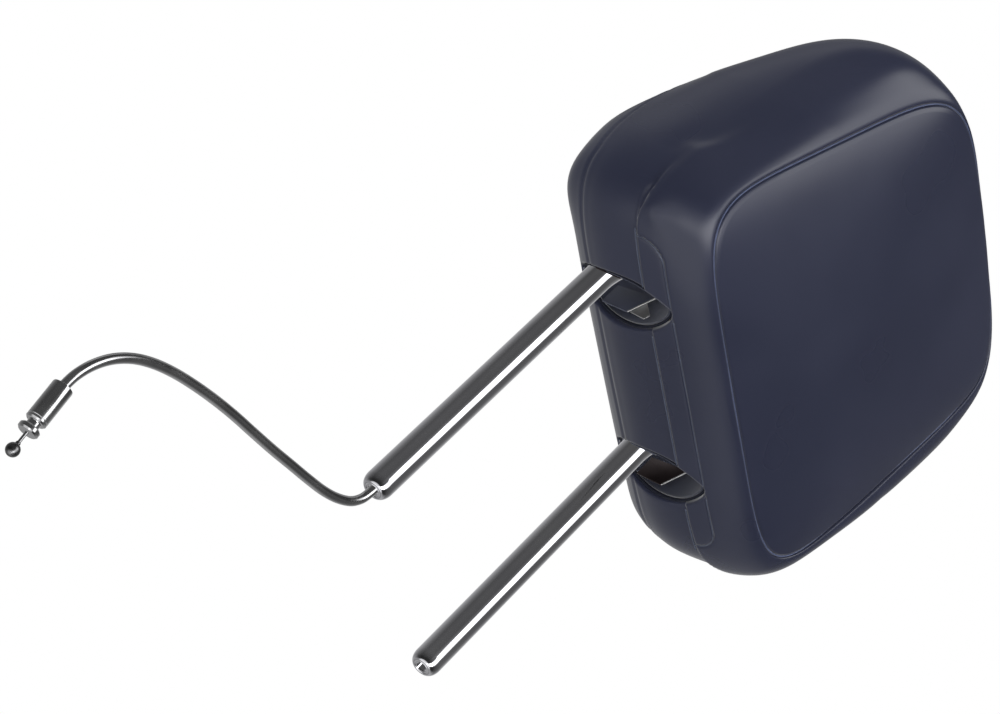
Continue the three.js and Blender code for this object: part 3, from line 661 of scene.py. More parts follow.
FOAM = Finish(
    "moulded_foam", "foam", (0.58, 0.50, 0.33), (0.48, 0.41, 0.26),
    rough=(0.85, 0.95), drift_scale=40, pore_scale=500, pore_depth=0.25, specular=0.2,
)


# Studio: camera, lamps, room and floor.


def compass(stops: Stops) -> Stops:
    """Turns degrees round the compass into shares of a turn."""
    return tuple((degrees / 360, tone) for degrees, tone in stops)


@dataclass
class Studio:
    """The room that the headrest is pictured in: camera, lamps, mirrored light and floor."""

    lens: float = 99.214
    eye: Point = (-0.86668, -0.80075, -0.70310)
    right: Point = (0.18460, -0.78341, 0.59346)
    up: Point = (-0.79637, 0.23463, 0.55744)
    back: Point = (-0.57595, -0.57552, -0.58057)
    floor_height: float = -1.05
    floor_size: float = 12.0
    ambient: float = 0.80
    strip_power: float = 6.0
    # What is mirrored. Round the compass, in degrees from +X through +Y, stand the walls, the low bounce
    # from the floor, the ceiling's light and the tall softbox with its edge.
    walls: Stops = (
        (0, 0.30), (15, 0.50), (30, 0.62), (60, 0.62), (80, 0.42), (100, 0.32), (130, 0.16),
        (155, 0.085), (185, 0.10), (225, 0.09), (240, 0.15), (285, 0.15),
        (300, 0.10), (330, 0.12), (350, 0.22), (360, 0.30),
    )
    glow: Stops = (
        (0, 0.25), (20, 0.25), (34, 0.05), (60, 0.1), (76, 0.2), (100, 0.1), (120, 0), (330, 0), (360, 0.25),
    )
    ceiling: Stops = ((0, 0), (103, 0), (116, 0.4), (132, 0.4), (146, 0))
    strip: Stops = ((0, 0), (242, 0), (248, 1), (278, 1), (288, 0))
    edge: Stops = ((0, 0), (242, 0), (249, 1), (320, 1), (321, 0))
    # From the floor, at 0, to the ceiling, at 1: how bright each of them is there, how far the edge
    # leans, and the floor straight below.
    rise: Stops = ((0, 0.22), (0.3, 0.30), (0.5, 0.7), (0.72, 1.0), (0.79, 1.0), (0.86, 0.6), (1, 0.5))
    low: Stops = ((0, 1), (0.38, 1), (0.5, 0))
    high: Stops = ((0, 0), (0.80, 0), (0.86, 1), (1, 1))
    reach: Stops = (
        (0, 0.2), (0.03, 0.6), (0.1, 1.0), (0.25, 1.0), (0.36, 0.45), (0.7, 0.42), (0.77, 0.5),
        (0.85, 0.5), (0.95, 0.0),
    )
    lean: Stops = ((0, 12 / 360), (0.71, 12 / 360), (0.78, 0), (1, 0))
    below: Stops = ((0, 0.85), (0.05, 0.8), (0.11, 0.0))

    def place_camera(self) -> None:
        """Makes the camera at the picture's viewpoint."""
        data = bpy.data.cameras.new("camera")
        data.lens = self.lens
        data.sensor_width = 36
        data.clip_start = 0.01
        data.clip_end = 60
        camera = bpy.data.objects.new("camera", data)
        bpy.context.scene.collection.objects.link(camera)
        place = Matrix((self.right, self.up, self.back)).transposed().to_4x4()
        place.translation = Vector(self.eye)
        camera.matrix_world = place
        bpy.context.scene.camera = camera

    def light(self) -> None:
        """Sets the room's light and two large soft lamps."""
        self._room()
        self._lamp("lamp_front", (-0.3, -1.6, -0.1), (0, -0.05, 0.25), 1.3, 3.0)
        self._lamp("lamp_side", (-1.7, 0.1, 0.9), (0, -0.03, 0.25), 1.2, 2.0)
        bpy.context.scene.view_settings.view_transform = "Standard"

    def _lamp(self, name: str, place: Point, aim: Point, size: float, power: float) -> None:
        """Hangs one soft square lamp.

        Args:
            name: Its name.
            place: Where it hangs.
            aim: The point that it faces.
            size: Its side.
            power: Its power in watts.
        """
        data = bpy.data.lights.new(name, "AREA")
        data.size = size
        data.energy = power
        lamp = bpy.data.objects.new(name, data)
        lamp.location = place
        lamp.rotation_euler = (Vector(place) - Vector(aim)).to_track_quat("Z", "Y").to_euler()
        lamp.visible_camera = False
        lamp.visible_glossy = False
        bpy.context.scene.collection.objects.link(lamp)

    def _room(self) -> None:
        """Builds the room: white where it is seen, and softboxes and dark walls where it is mirrored."""
        world = bpy.data.worlds.new("room")
        bpy.context.scene.world = world
        world.use_nodes = True
        sheet = Sheet(world.node_tree)
        lamp = world.node_tree.nodes["Background"]
        place = sheet.add("ShaderNodeTexCoord")
        parts = sheet.add("ShaderNodeSeparateXYZ")
        sheet.link(place.outputs["Generated"], parts.inputs[0])
        angle = sheet.math("ARCTAN2", parts.outputs["Y"], parts.outputs["X"])
        turn = sheet.math("FRACT", sheet.math("ADD", sheet.math("DIVIDE", angle, 2 * math.pi), 1.0))
        height = sheet.math("MULTIPLY_ADD", parts.outputs["Z"], 0.5, 0.5)
        leant = sheet.math("SUBTRACT", turn, sheet.ramp(height, self.lean))
        walls = sheet.math("MULTIPLY", sheet.ramp(turn, compass(self.walls)), sheet.ramp(height, self.rise))
        glow = sheet.math("MULTIPLY", sheet.ramp(turn, compass(self.glow)), sheet.ramp(height, self.low))
        strip = sheet.math("MULTIPLY", sheet.ramp(turn, compass(self.strip)), sheet.ramp(height, self.reach))
        strip = sheet.math("MULTIPLY", strip, sheet.ramp(leant, compass(self.edge)))
        ceiling = sheet.ramp(turn, compass(self.ceiling))
        ceiling = sheet.math("MULTIPLY", ceiling, sheet.ramp(height, self.high))
        soft = sheet.math("ADD", sheet.math("ADD", walls, glow), ceiling)
        soft = sheet.math("ADD", soft, sheet.ramp(height, self.below))
        mirrored_light = sheet.math("MULTIPLY_ADD", strip, self.strip_power, soft)
        path = sheet.add("ShaderNodeLightPath")
        mirrored = sheet.add("ShaderNodeMix", data_type="RGBA")
        sheet.link(path.outputs["Is Glossy Ray"], mirrored.inputs["Factor"])
        mirrored.inputs[6].default_value = (self.ambient,) * 3 + (1,)
        sheet.link(mirrored_light, mirrored.inputs[7])
        seen = sheet.add("ShaderNodeMix", data_type="RGBA")
        seen.inputs[7].default_value = (1, 1, 1, 1)
        shown = sheet.math("MAXIMUM", path.outputs["Is Camera Ray"], path.outputs["Is Transmission Ray"])
        sheet.link(shown, seen.inputs["Factor"])
        sheet.link(mirrored.outputs[2], seen.inputs[6])
        sheet.link(seen.outputs[2], lamp.inputs["Color"])

    def lay_floor(self) -> None:
        """Lays the plain pale floor."""
        deselect()
        bpy.ops.mesh.primitive_plane_add(size=self.floor_size, location=(0, 0, self.floor_height))
        floor = name_piece("floor")
        settle(floor)
        bpy.ops.object.mode_set(mode="EDIT")
        bpy.ops.mesh.subdivide(number_cuts=3)
        bpy.ops.object.mode_set(mode="OBJECT")
        material = bpy.data.materials.new("pale_floor")
        material.use_nodes = True
        sheet = Sheet(material.node_tree)
        shader = material.node_tree.nodes["Principled BSDF"]
        drifting(sheet, shader, 1.5, (0.86, 0.86, 0.86), (0.83, 0.83, 0.83), (0.7, 0.8))
        floor.data.materials.append(material)
        floor.visible_glossy = False


# Release cable.

CABLE_ROUTE_MM: tuple[Point, ...] = (
    (-58.5, 0, -0.15), (-58.7, 0, -4.5), (-59.8, 0, -10.2), (-63.7, 0, -17), (-71.5, 0, -24.5),
    (-81.5, 0, -31.5), (-94, 0, -38.5), (-107.5, 0, -45.6), (-123, 0, -53.8), (-139, 0, -61.8),
    (-154, 0, -69.2), (-168.5, 0, -77), (-183, 0, -85.6), (-196, 0, -94.2), (-207.4, 0, -103.2),
    (-216.6, 0, -112.6), (-223.4, 0, -122.6), (-227.6, 0, -132.8), (-229.4, 0, -142.6),
    (-228.9, 0, -151), (-226.9, 0, -158.8),
)


def smooth_line(points: Sequence[Point], per_span: int) -> list[Vector]:
    """Draws a smooth line through points.

    Args:
        points: The points that it passes.
        per_span: Steps between two points.

    Returns:
        The line's points.
    """
    p = [Vector(q) for q in points]
    p = [2 * p[0] - p[1], *p, 2 * p[-1] - p[-2]]
    line = []
    for a, b, c, d in zip(p, p[1:], p[2:], p[3:]):
        for k in range(per_span):
            t = k / per_span
            line.append(
                0.5
                * ((2 * b) + (c - a) * t + (2 * a - 5 * b + 4 * c - d) * t**2 + (3 * b - a - 3 * c + d) * t**3)
            )
    line.append(p[-2])
    return line


def tube_along(name: str, line: Sequence[Vector], radius: float, sides: int = 20) -> bpy.types.Object:
    """Sweeps a round tube along a line that lies in the plane of the posts.

    Args:
        name: The piece's name.
        line: The centre line.
        radius: The tube's radius.
        sides: Number of sides.

    Returns:
        The closed tube.
    """
    count = len(line)
    across = Vector((0, 1, 0))
    points = []
    for i, here in enumerate(line):
        tangent = (line[min(i + 1, count - 1)] - line[max(i - 1, 0)]).normalized()
        other = tangent.cross(across).normalized()
        for k in range(sides):
            angle = 2 * math.pi * k / sides
            points.append(here + radius * (math.cos(angle) * across + math.sin(angle) * other))
    faces = []
    for i in range(count - 1):
        for k in range(sides):
            n = (k + 1) % sides
            faces.append((i * sides + k, i * sides + n, (i + 1) * sides + n, (i + 1) * sides + k))
    faces.append(tuple(range(sides - 1, -1, -1)))
    faces.append(tuple((count - 1) * sides + k for k in range(sides)))
    piece = mesh_piece(name, np.array([tuple(p) for p in points]), faces)
    facing_out(piece)
    smooth(piece, 40)
    return piece


@dataclass
class ReleaseCable:
    """The cable that hangs from the left post, with its ferrule and its ball."""

    diameter: float = 5 * MM
    wire: float = 1.6 * MM
    socket: float = 8 * MM
    barrel_length: float = 19.8 * MM
    barrel_radius: float = 5 * MM
    neck: float = 2.7 * MM
    flange: float = 3 * MM
    ball_radius: float = 3.25 * MM
    ball_reach: float = 9.5 * MM
    line: list[Vector] = field(default_factory=list)

    def build(self) -> None:
        """Makes the sheath, the ferrule, the wire and the ball."""
        self.line = smooth_line([tuple(c * MM for c in p) for p in CABLE_ROUTE_MM], 8)
        sheath = tube_along("release_cable", self.line, self.diameter / 2)
        SHEATH.dress(sheath)
        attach(sheath, "armature")
        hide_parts("cable_sheath")
        end = self.line[-1]
        direction = Vector(CABLE_ROUTE_MM[-1]) - Vector(CABLE_ROUTE_MM[-2])
        place = frame_along(tuple(end), tuple(direction))
        ferrule = self._ferrule(place)
        wire = self._wire(place)
        ball = self._ball(place)

    def _ferrule(self, place: Matrix) -> bpy.types.Object:
        """Turns the ferrule: barrel, neck and flange.

        Args:
            place: The frame at the sheath's end.

        Returns:
            The ferrule.
        """
        r = self.barrel_radius
        edge = 0.7 * MM
        mouth = -self.socket
        barrel_end = self.barrel_length - self.socket
        neck_end = barrel_end + self.neck
        face = neck_end + self.flange
        bore = self.diameter / 2 + 0.15 * MM
        hole = self.wire / 2 + 0.3 * MM
        profile = [
            (bore, mouth + 2 * MM), (bore, mouth), (r - edge, mouth), (r - edge * 0.25, mouth + edge * 0.3),
            (r, mouth + edge), (r, barrel_end - 2 * MM), (r - 0.25 * MM, barrel_end - 1.8 * MM),
            (r - 0.25 * MM, barrel_end - 1.5 * MM), (r, barrel_end - 1.3 * MM), (r, barrel_end - edge),
            (r - edge, barrel_end), (3.2 * MM, barrel_end), (3 * MM, barrel_end + 0.3 * MM),
            (3 * MM, neck_end - 0.3 * MM), (3.2 * MM, neck_end), (r - edge, neck_end), (r, neck_end + edge),
            (r, face - edge), (r - edge, face), (hole, face), (hole, face - 4 * MM),
        ]
        piece = turned("cable_ferrule", profile, 40, place)
        smooth(piece, 30)
        FITTING.dress(piece)
        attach(piece, "armature")
        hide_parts("sheath_ferrule")
        return piece

    def _wire(self, place: Matrix) -> bpy.types.Object:
        """Draws the pull wire out of the ferrule.

        Args:
            place: The frame at the sheath's end.

        Returns:
            The wire.
        """
        face = self.barrel_length - self.socket + self.neck + self.flange
        end = face + self.ball_reach - self.ball_radius + 0.2 * MM
        r = self.wire / 2
        piece = turned("cable_wire", [(r, 2 * MM), (r, end * 0.5), (r, end)], 12, place)
        smooth(piece, 40)
        SHEATH.dress(piece)
        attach(piece, "cable")
        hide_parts("pull_wire")
        return piece

    def _ball(self, place: Matrix) -> bpy.types.Object:
        """Turns the ball at the wire's end, with the small collar that it is cast on.

        Args:
            place: The frame at the sheath's end.

        Returns:
            The ball.
        """
        face = self.barrel_length - self.socket + self.neck + self.flange
        centre = face + self.ball_reach
        r = self.ball_radius
        steps = [(r * math.sin(a), centre - r * math.cos(a)) for a in np.linspace(0.36, math.pi - 0.08, 16)]
        collar = [(0.95 * MM, centre - r - 0.9 * MM), (1.15 * MM, centre - r - 0.5 * MM)]
        piece = turned("cable_ball", [*collar, *steps], 32, place)
        smooth(piece, 40)
        BALL.dress(piece)
        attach(piece, "cable")
        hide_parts("wire_ball")
        return piece


# Stay tube.


def bend(centre: Vector, axis: Vector, angle: float, steps: int) -> None:
    """Bends the selected ring round an axis, the way that a right-hand turn goes.

    Args:
        centre: A point of the axis.
        axis: The axis.
        angle: How far it turns.
        steps: Number of rings.
    """
    bpy.ops.mesh.spin(steps=steps, angle=-angle, center=centre, axis=axis)


@dataclass
class StayTube:
    """The bent tube: two posts, two legs and the crossbar that the cushion tilts on."""

    half_spacing: float = 58.5 * MM
    radius: float = 8 * MM
    bend_height: float = 200 * MM
    bend_radius: float = 40 * MM
    pivot_y: float = -60 * MM
    pivot_z: float = 290 * MM
    corner_radius: float = 24 * MM
    hole_radius: float = 2.85 * MM
    notches: tuple[float, ...] = (60 * MM, 82 * MM, 104 * MM)
    notch_depth: float = 1.5 * MM
    notch_height: float = 5 * MM
    sides: int = 64

    def build(self) -> None:
        """Bends the tube, shapes its tips and cuts its notches."""
        piece = self._half()
        self._tip(piece)
        self._mirror(piece)
        for seat in self.notches:
            self._notch(piece, seat)
        smooth(piece, 32)
        CHROME.dress(piece)
        piece.visible_glossy = False
        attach(piece, "armature")
        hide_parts("stay_tube")
        LOG.info("stay tube, %d faces", len(piece.data.polygons))

    def _half(self) -> bpy.types.Object:
        """Bends the left post up to the middle of the crossbar.

        Returns:
            The half tube.
        """
        lean = math.atan2(-self.pivot_y, self.pivot_z - self.bend_height)
        tangent = self.bend_radius * math.tan(lean / 2)
        leg = math.hypot(self.pivot_y, self.pivot_z - self.bend_height) - tangent - self.corner_radius
        x = -self.half_spacing
        start = 12 * MM
        along = Vector((0, -math.sin(lean), math.cos(lean)))
        deselect()
        bpy.ops.mesh.primitive_circle_add(
            vertices=self.sides, radius=self.radius, fill_type="NOTHING", location=(x, 0, start)
        )
        piece = name_piece("bent_stay")
        settle(piece)
        bpy.ops.object.mode_set(mode="EDIT")
        bpy.ops.mesh.select_all(action="SELECT")
        run = self.bend_height - tangent - start
        for _ in range(6):
            push((0, 0, run / 6))
        centre = Vector((x, -self.bend_radius, self.bend_height - tangent))
        bend(centre, Vector((1, 0, 0)), lean, 14)
        for _ in range(3):
            push(along * (leg / 3))
        corner = Vector((x, self.pivot_y, self.pivot_z)) - along * self.corner_radius
        centre = corner + Vector((self.corner_radius, 0, 0))
        bend(centre, Vector((0, math.cos(lean), math.sin(lean))), math.pi / 2, 16)
        bar = self.half_spacing - self.corner_radius
        for _ in range(2):
            push((bar / 2, 0, 0))
        bpy.ops.object.mode_set(mode="OBJECT")
        return piece

    def _tip(self, piece: bpy.types.Object) -> None:
        """Rounds the lower end in to the lip round its hole.

        Args:
            piece: The half tube.
        """
        hold(piece)
        mesh = piece.data
        low = min(v.co.z for v in mesh.vertices)
        for v in mesh.vertices:
            v.select = abs(v.co.z - low) < 1e-6
        for e in mesh.edges:
            e.select = all(mesh.vertices[i].select for i in e.vertices)
        for f in mesh.polygons:
            f.select = False
        bpy.ops.object.mode_set(mode="EDIT")
        r = self.radius
        lip = self.hole_radius
        profile = [(r, low), (r, 5.0 * MM)]
        profile += [
            (r - 3.3 * MM * (1 - math.cos(a)), 4.6 * MM - 6.0 * MM * math.sin(a))
            for a in np.linspace(0.12, math.pi / 2, 12)
        ]
        profile += [
            (lip + 1.45 * MM, -1.25 * MM), (lip + 1.2 * MM, -1.0 * MM), (lip + 0.95 * MM, -0.95 * MM),
            (lip + 0.6 * MM, -1.1 * MM), (lip + 0.3 * MM, -1.05 * MM), (lip + 0.08 * MM, -0.8 * MM),
            (lip, -0.4 * MM), (lip, 5 * MM), (lip - 0.3 * MM, 6 * MM),
        ]
        ring_steps(profile, -self.half_spacing)
        bpy.ops.mesh.edge_face_add()
        bpy.ops.object.mode_set(mode="OBJECT")

    @staticmethod
    def _mirror(piece: bpy.types.Object) -> None:
        """Mirrors the half tube to the other post.

        Args:
            piece: The half tube.
        """
        mirror = piece.modifiers.new("other_post", "MIRROR")
        mirror.merge_threshold = 1e-5
        apply_modifiers(piece)
        facing_out(piece)

    def _notch(self, piece: bpy.types.Object, seat: float) -> None:
        """Cuts a lock notch into the outer side of the right post.

        Args:
            piece: The tube.
            seat: Height of the notch's upper face.
        """
        floor = self.half_spacing + self.radius - self.notch_depth
        deselect()
        bpy.ops.mesh.primitive_cube_add(size=1, location=(0, 0, 0))
        cutter = name_piece("notch_cutter")
        wide = 4 * MM
        cutter.scale = (wide, 3 * self.radius, self.notch_height)
        cutter.location = (floor + wide / 2, 0, seat - self.notch_height / 2)
        settle(cutter)
        bpy.ops.object.mode_set(mode="EDIT")
        bpy.ops.mesh.select_all(action="DESELECT")
        bpy.ops.object.mode_set(mode="OBJECT")
        for v in cutter.data.vertices:
            v.select = v.co.x > floor + wide / 2 and v.co.z < seat - self.notch_height / 2
        bpy.ops.object.mode_set(mode="EDIT")
        bpy.ops.transform.translate(value=(0, 0, -2 * self.notch_depth))
        bpy.ops.object.mode_set(mode="OBJECT")
        subtract(piece, cutter)


# Cushion.


@dataclass(frozen=True)
class Loop:
    """A rounded loop that the cushion's surface passes through, in a plane that leans forward."""

    y: float
    lean: float
    low: float
    high: float
    half_low: float
    half_high: float
    round_low: float
    round_high: float
    plane_height: float = 200.0

    def points(self, angle: np.ndarray, share: np.ndarray | float = 1.0) -> np.ndarray:
        """Points of the loop, scaled towards its middle.

        Args:
            angle: Angles round the loop, in radians.
            share: 1 on the loop, 0 in its middle.

        Returns:
            The points, in millimetres.
        """
        bend = np.where(np.sin(angle) < 0, self.round_low, self.round_high)
        across = np.sign(np.cos(angle)) * np.abs(np.cos(angle)) ** (2 / bend)
        up = np.sign(np.sin(angle)) * np.abs(np.sin(angle)) ** (2 / bend) * share
        z = (self.low + self.high) / 2 + (self.high - self.low) / 2 * up
        half = (self.half_low + self.half_high) / 2 + (self.half_high - self.half_low) / 2 * up
        y = self.y - math.tan(math.radians(self.lean)) * (z - self.plane_height)
        return np.stack([across * half * share, y, z], -1)


SLOT_X = 58.5
MIDDLE = (0.0, -40.0, 275.0)

SEAM_LOOP = Loop(-83, 12.7, 185, 372, 124, 98, 6, 4.9)
BELLY_LOOP = Loop(-46, 12.9, 176, 376, 138, 138.5, 7, 3.9)
BACK_LOOP = Loop(28, 26.7, 211, 372, 134, 115, 4.8, 3.7)


def smoothstep(value: np.ndarray) -> np.ndarray:
    """Rises smoothly from 0 to 1 as the value does."""
    t = np.clip(value, 0, 1)
    return t * t * (3 - 2 * t)


def bell(value: np.ndarray, width: float | np.ndarray) -> np.ndarray:
    """A bell of height 1 about 0."""
    return np.exp(-((value / width) ** 2))


@dataclass
class CushionForm:
    """The surface of the cushion, in millimetres. reach runs from -1 at the middle of the front,
    through 0 at the belly, to 1 at the middle of the back."""

    front_crown: float = 9.0
    back_crown: float = 7.0

    def points(self, angle: np.ndarray, reach: np.ndarray) -> np.ndarray:
        """Points of the surface.

        Args:
            angle: Angles round the cushion, in radians.
            reach: How far forward or back.

        Returns:
            The points.
        """
        angle, reach = np.broadcast_arrays(np.asarray(angle, float), np.asarray(reach, float))
        made = np.zeros(angle.shape + (3,))
        for front in (True, False):
            here = (reach < 0) == front
            end = SEAM_LOOP if front else BACK_LOOP
            far = np.abs(reach[here]) * 2
            turn = np.minimum(far, 1) * math.pi / 2
            belly = BELLY_LOOP.points(angle[here])
            rim = end.points(angle[here])
            side = belly + (rim - belly) * (1 - np.cos(turn))[:, None]
            side[:, 1] = belly[:, 1] + (rim[:, 1] - belly[:, 1]) * np.sin(turn)
            share = np.where(far > 1, 2 - far, 1.0)
            face = end.points(angle[here], share)
            face[:, 1] += (-self.front_crown if front else self.back_crown) * (1 - share**2)
            made[here] = np.where((far > 1)[:, None], face, side)
        return made

    @staticmethod
    def angles(spacing: Callable[[np.ndarray], np.ndarray]) -> np.ndarray:
        """Angles whose points lie a chosen distance apart on the belly.

        Args:
            spacing: The distance wanted at each point of the belly.

        Returns:
            The angles, in radians, round the whole loop.
        """
        fine = np.linspace(0, 1, 3000)
        quarter = np.unique(np.concatenate([np.arccos(fine**3.5), np.arcsin(fine**3.5)]))
        dense = np.unique(
            np.concatenate([quarter, math.pi - quarter, math.pi + quarter, 2 * math.pi - quarter])
        )
        line = BELLY_LOOP.points(dense)
        steps = np.linalg.norm(np.diff(line, axis=0), axis=1)
        middle = (line[1:] + line[:-1]) / 2
        count = np.r_[0, np.cumsum(steps / spacing(middle))]
        whole = int(round(count[-1]))
        return np.interp(np.arange(whole) * count[-1] / whole, count, dense)


def sides_of(quads: np.ndarray) -> np.ndarray:
    """The sides of four-sided faces, as pairs of point numbers."""
    return np.concatenate([quads[:, pair] for pair in ([0, 1], [1, 2], [2, 3], [3, 0])])


def spaced(start: float, end: float, first: float, growth: float, last: float) -> np.ndarray:
    """Distances that start close together and spread.

    Args:
        start: The first distance.
        end: The last.
        first: The first step.
        growth: How much longer each step is.
        last: The longest step.

    Returns:
        The distances, with both ends.
    """
    made = [0.0]
    step = first
    while made[-1] < abs(end - start):
        made.append(made[-1] + step)
        step = min(step * growth, last)
    made = np.array(made) * abs(end - start) / made[-1]
    return start + np.sign(end - start) * made


def rows() -> tuple[np.ndarray, dict[str, int]]:
    """The reach of each row of the skin, close together at its seams.

    Returns:
        The reaches from the middle of the front to the middle of the back, without the two
        middles, and the numbers of the seam rows.
    """
    panel = spaced(0, 105, 0.35, 1.16, 3.4)[:0:-1] / 105 * -0.5 - 0.5
    near_seam = spaced(0, 25, 0.35, 1.16, 1.3)
    near_belly = spaced(48, 25, 0.35, 1.25, 1.15)[::-1]
    band = (np.r_[near_seam, near_belly[1:]] / 48 - 1) * 0.5
    after_step = spaced(0, 45, 0.3, 1.25, 1.2)
    near_back = spaced(78, 45, 0.35, 1.2, 1.6)[::-1]
    rear = np.r_[after_step, near_back[1:]] / 78 * 0.5
    back = spaced(0, 105, 0.35, 1.2, 3.6)[1:] / 105 * 0.5 + 0.5
    reach = np.r_[panel[1:], band, rear[1:], back[:-1]]
    marks = {
        "seam": len(panel) - 1,
        "belly": len(panel) - 1 + len(band) - 1,
        "rear": len(panel) - 1 + len(band) - 1 + len(rear) - 1,
    }
    return reach, marks


class Part(Enum):
    """The pieces of the cover."""

    PANEL = 0
    SIDE = 1
    BACK = 2
    FLAP = 3


@dataclass(frozen=True)
class Fuller:
    """A place where the padding stands fuller than the plain form, in millimetres."""

    place: Point
    spread: Point
    height: float

    def lift(self, grid: np.ndarray) -> np.ndarray:
        """Finds how far it lifts a surface.

        Args:
            grid: Points of the surface.

        Returns:
            The height over each.
        """
        off = (grid - np.array(self.place)) / np.array(self.spread)
        return self.height * np.exp(-(off**2).sum(-1))


FULLER_PLACES = (
    Fuller((-137, -57, 214), (10, 7, 7), 1.3),
    Fuller((-118, -52, 181), (7, 6, 6), 1.2),
    Fuller((-129, -18, 282), (30, 26, 34), 2.7),
    Fuller((129, -18, 282), (30, 26, 34), 2.7),
    Fuller((126, -95, 275), (14, 26, 45), 2.6),
    Fuller((-108, 15, 202), (20, 18, 12), 3.4),
    Fuller((108, 8, 197), (20, 18, 12), 2.4),
    Fuller((96, -118, 360), (24, 14, 20), 1.5),
    Fuller((0, -122, 372), (44, 12, 12), 0.9),
    Fuller((-96, -114, 364), (16, 16, 14), 1.1),
)


@dataclass
class Outline:
    """A closed line in the plan of the underside, in millimetres."""

    points: np.ndarray

    def distance(self, plan: np.ndarray) -> tuple[np.ndarray, np.ndarray]:
        """How far plan points lie outside the line, and the way out.

        Args:
            plan: Points as X and Y.

        Returns:
            The distances, negative inside, and the unit directions that lead out.
        """
        a = self.points
        b = np.roll(a, -1, axis=0)
        edge = b - a
        best = np.full(len(plan), 1e9)
        near = np.zeros_like(plan)
        for p, e in zip(a, edge):
            t = np.clip(((plan - p) @ e) / (e @ e + 1e-12), 0, 1)
            q = p + t[:, None] * e
            d = np.linalg.norm(plan - q, axis=1)
            closer = d < best
            best[closer] = d[closer]
            near[closer] = q[closer]
        inside = np.zeros(len(plan), bool)
        for p, q in zip(a, b):
            crosses = (p[1] > plan[:, 1]) != (q[1] > plan[:, 1])
            with np.errstate(divide="ignore", invalid="ignore"):
                x = (q[0] - p[0]) * (plan[:, 1] - p[1]) / (q[1] - p[1]) + p[0]
            inside ^= crosses & (plan[:, 0] < x)
        sign = np.where(inside, -1.0, 1.0)
        way = (plan - near) * sign[:, None]
        way /= np.linalg.norm(way, axis=1, keepdims=True) + 1e-9
        return best * sign, way


@dataclass
class Slot:
    """An underside slot that a post passes through, as stations of y and the widths to -X and +X."""

    x: float
    stations: tuple[Point, ...] = (
        (13.0, 0.0, 0.0), (12.0, 3.2, 4.2), (9.0, 6.2, 8.4), (4.0, 9.2, 12.2), (-3.0, 12.0, 15.6),
        (-10.0, 13.8, 17.8), (-18.0, 14.8, 18.8), (-26.0, 14.8, 18.6), (-34.0, 13.6, 17.2),
        (-41.0, 11.0, 14.6), (-47.0, 7.6, 11.0), (-51.5, 4.6, 7.2), (-54.2, 2.4, 4.0), (-55.2, 0.0, 0.0),
    )

    def outline(self, grow: float = 0.0) -> Outline:
        """The slot's outline, grown on all sides.

        Args:
            grow: How much it is grown.

        Returns:
            The outline.
        """
        y, low, high = np.array(self.stations).T
        key = np.r_[0, np.cumsum(np.hypot(np.diff(y), np.diff(high)))]
        t = np.linspace(0, key[-1], 40)
        ys, lows, highs = (np.interp(t, key, side) for side in (y, low, high))
        for side in (ys, lows, highs):
            for _ in range(2):
                side[1:-1] = (side[:-2] + 2 * side[1:-1] + side[2:]) / 4
        left = np.stack([self.x - lows, ys], -1)
        right = np.stack([self.x + highs, ys], -1)[::-1]
        line = np.concatenate([left, right[1:-1]])
        if grow:
            ahead = np.roll(line, -1, axis=0) - np.roll(line, 1, axis=0)
            out = np.stack([-ahead[:, 1], ahead[:, 0]], -1)
            out /= np.linalg.norm(out, axis=1, keepdims=True)
            out *= np.sign(((line - line.mean(0)) * out).sum(1, keepdims=True))
            line = line + out * grow
        return Outline(line)


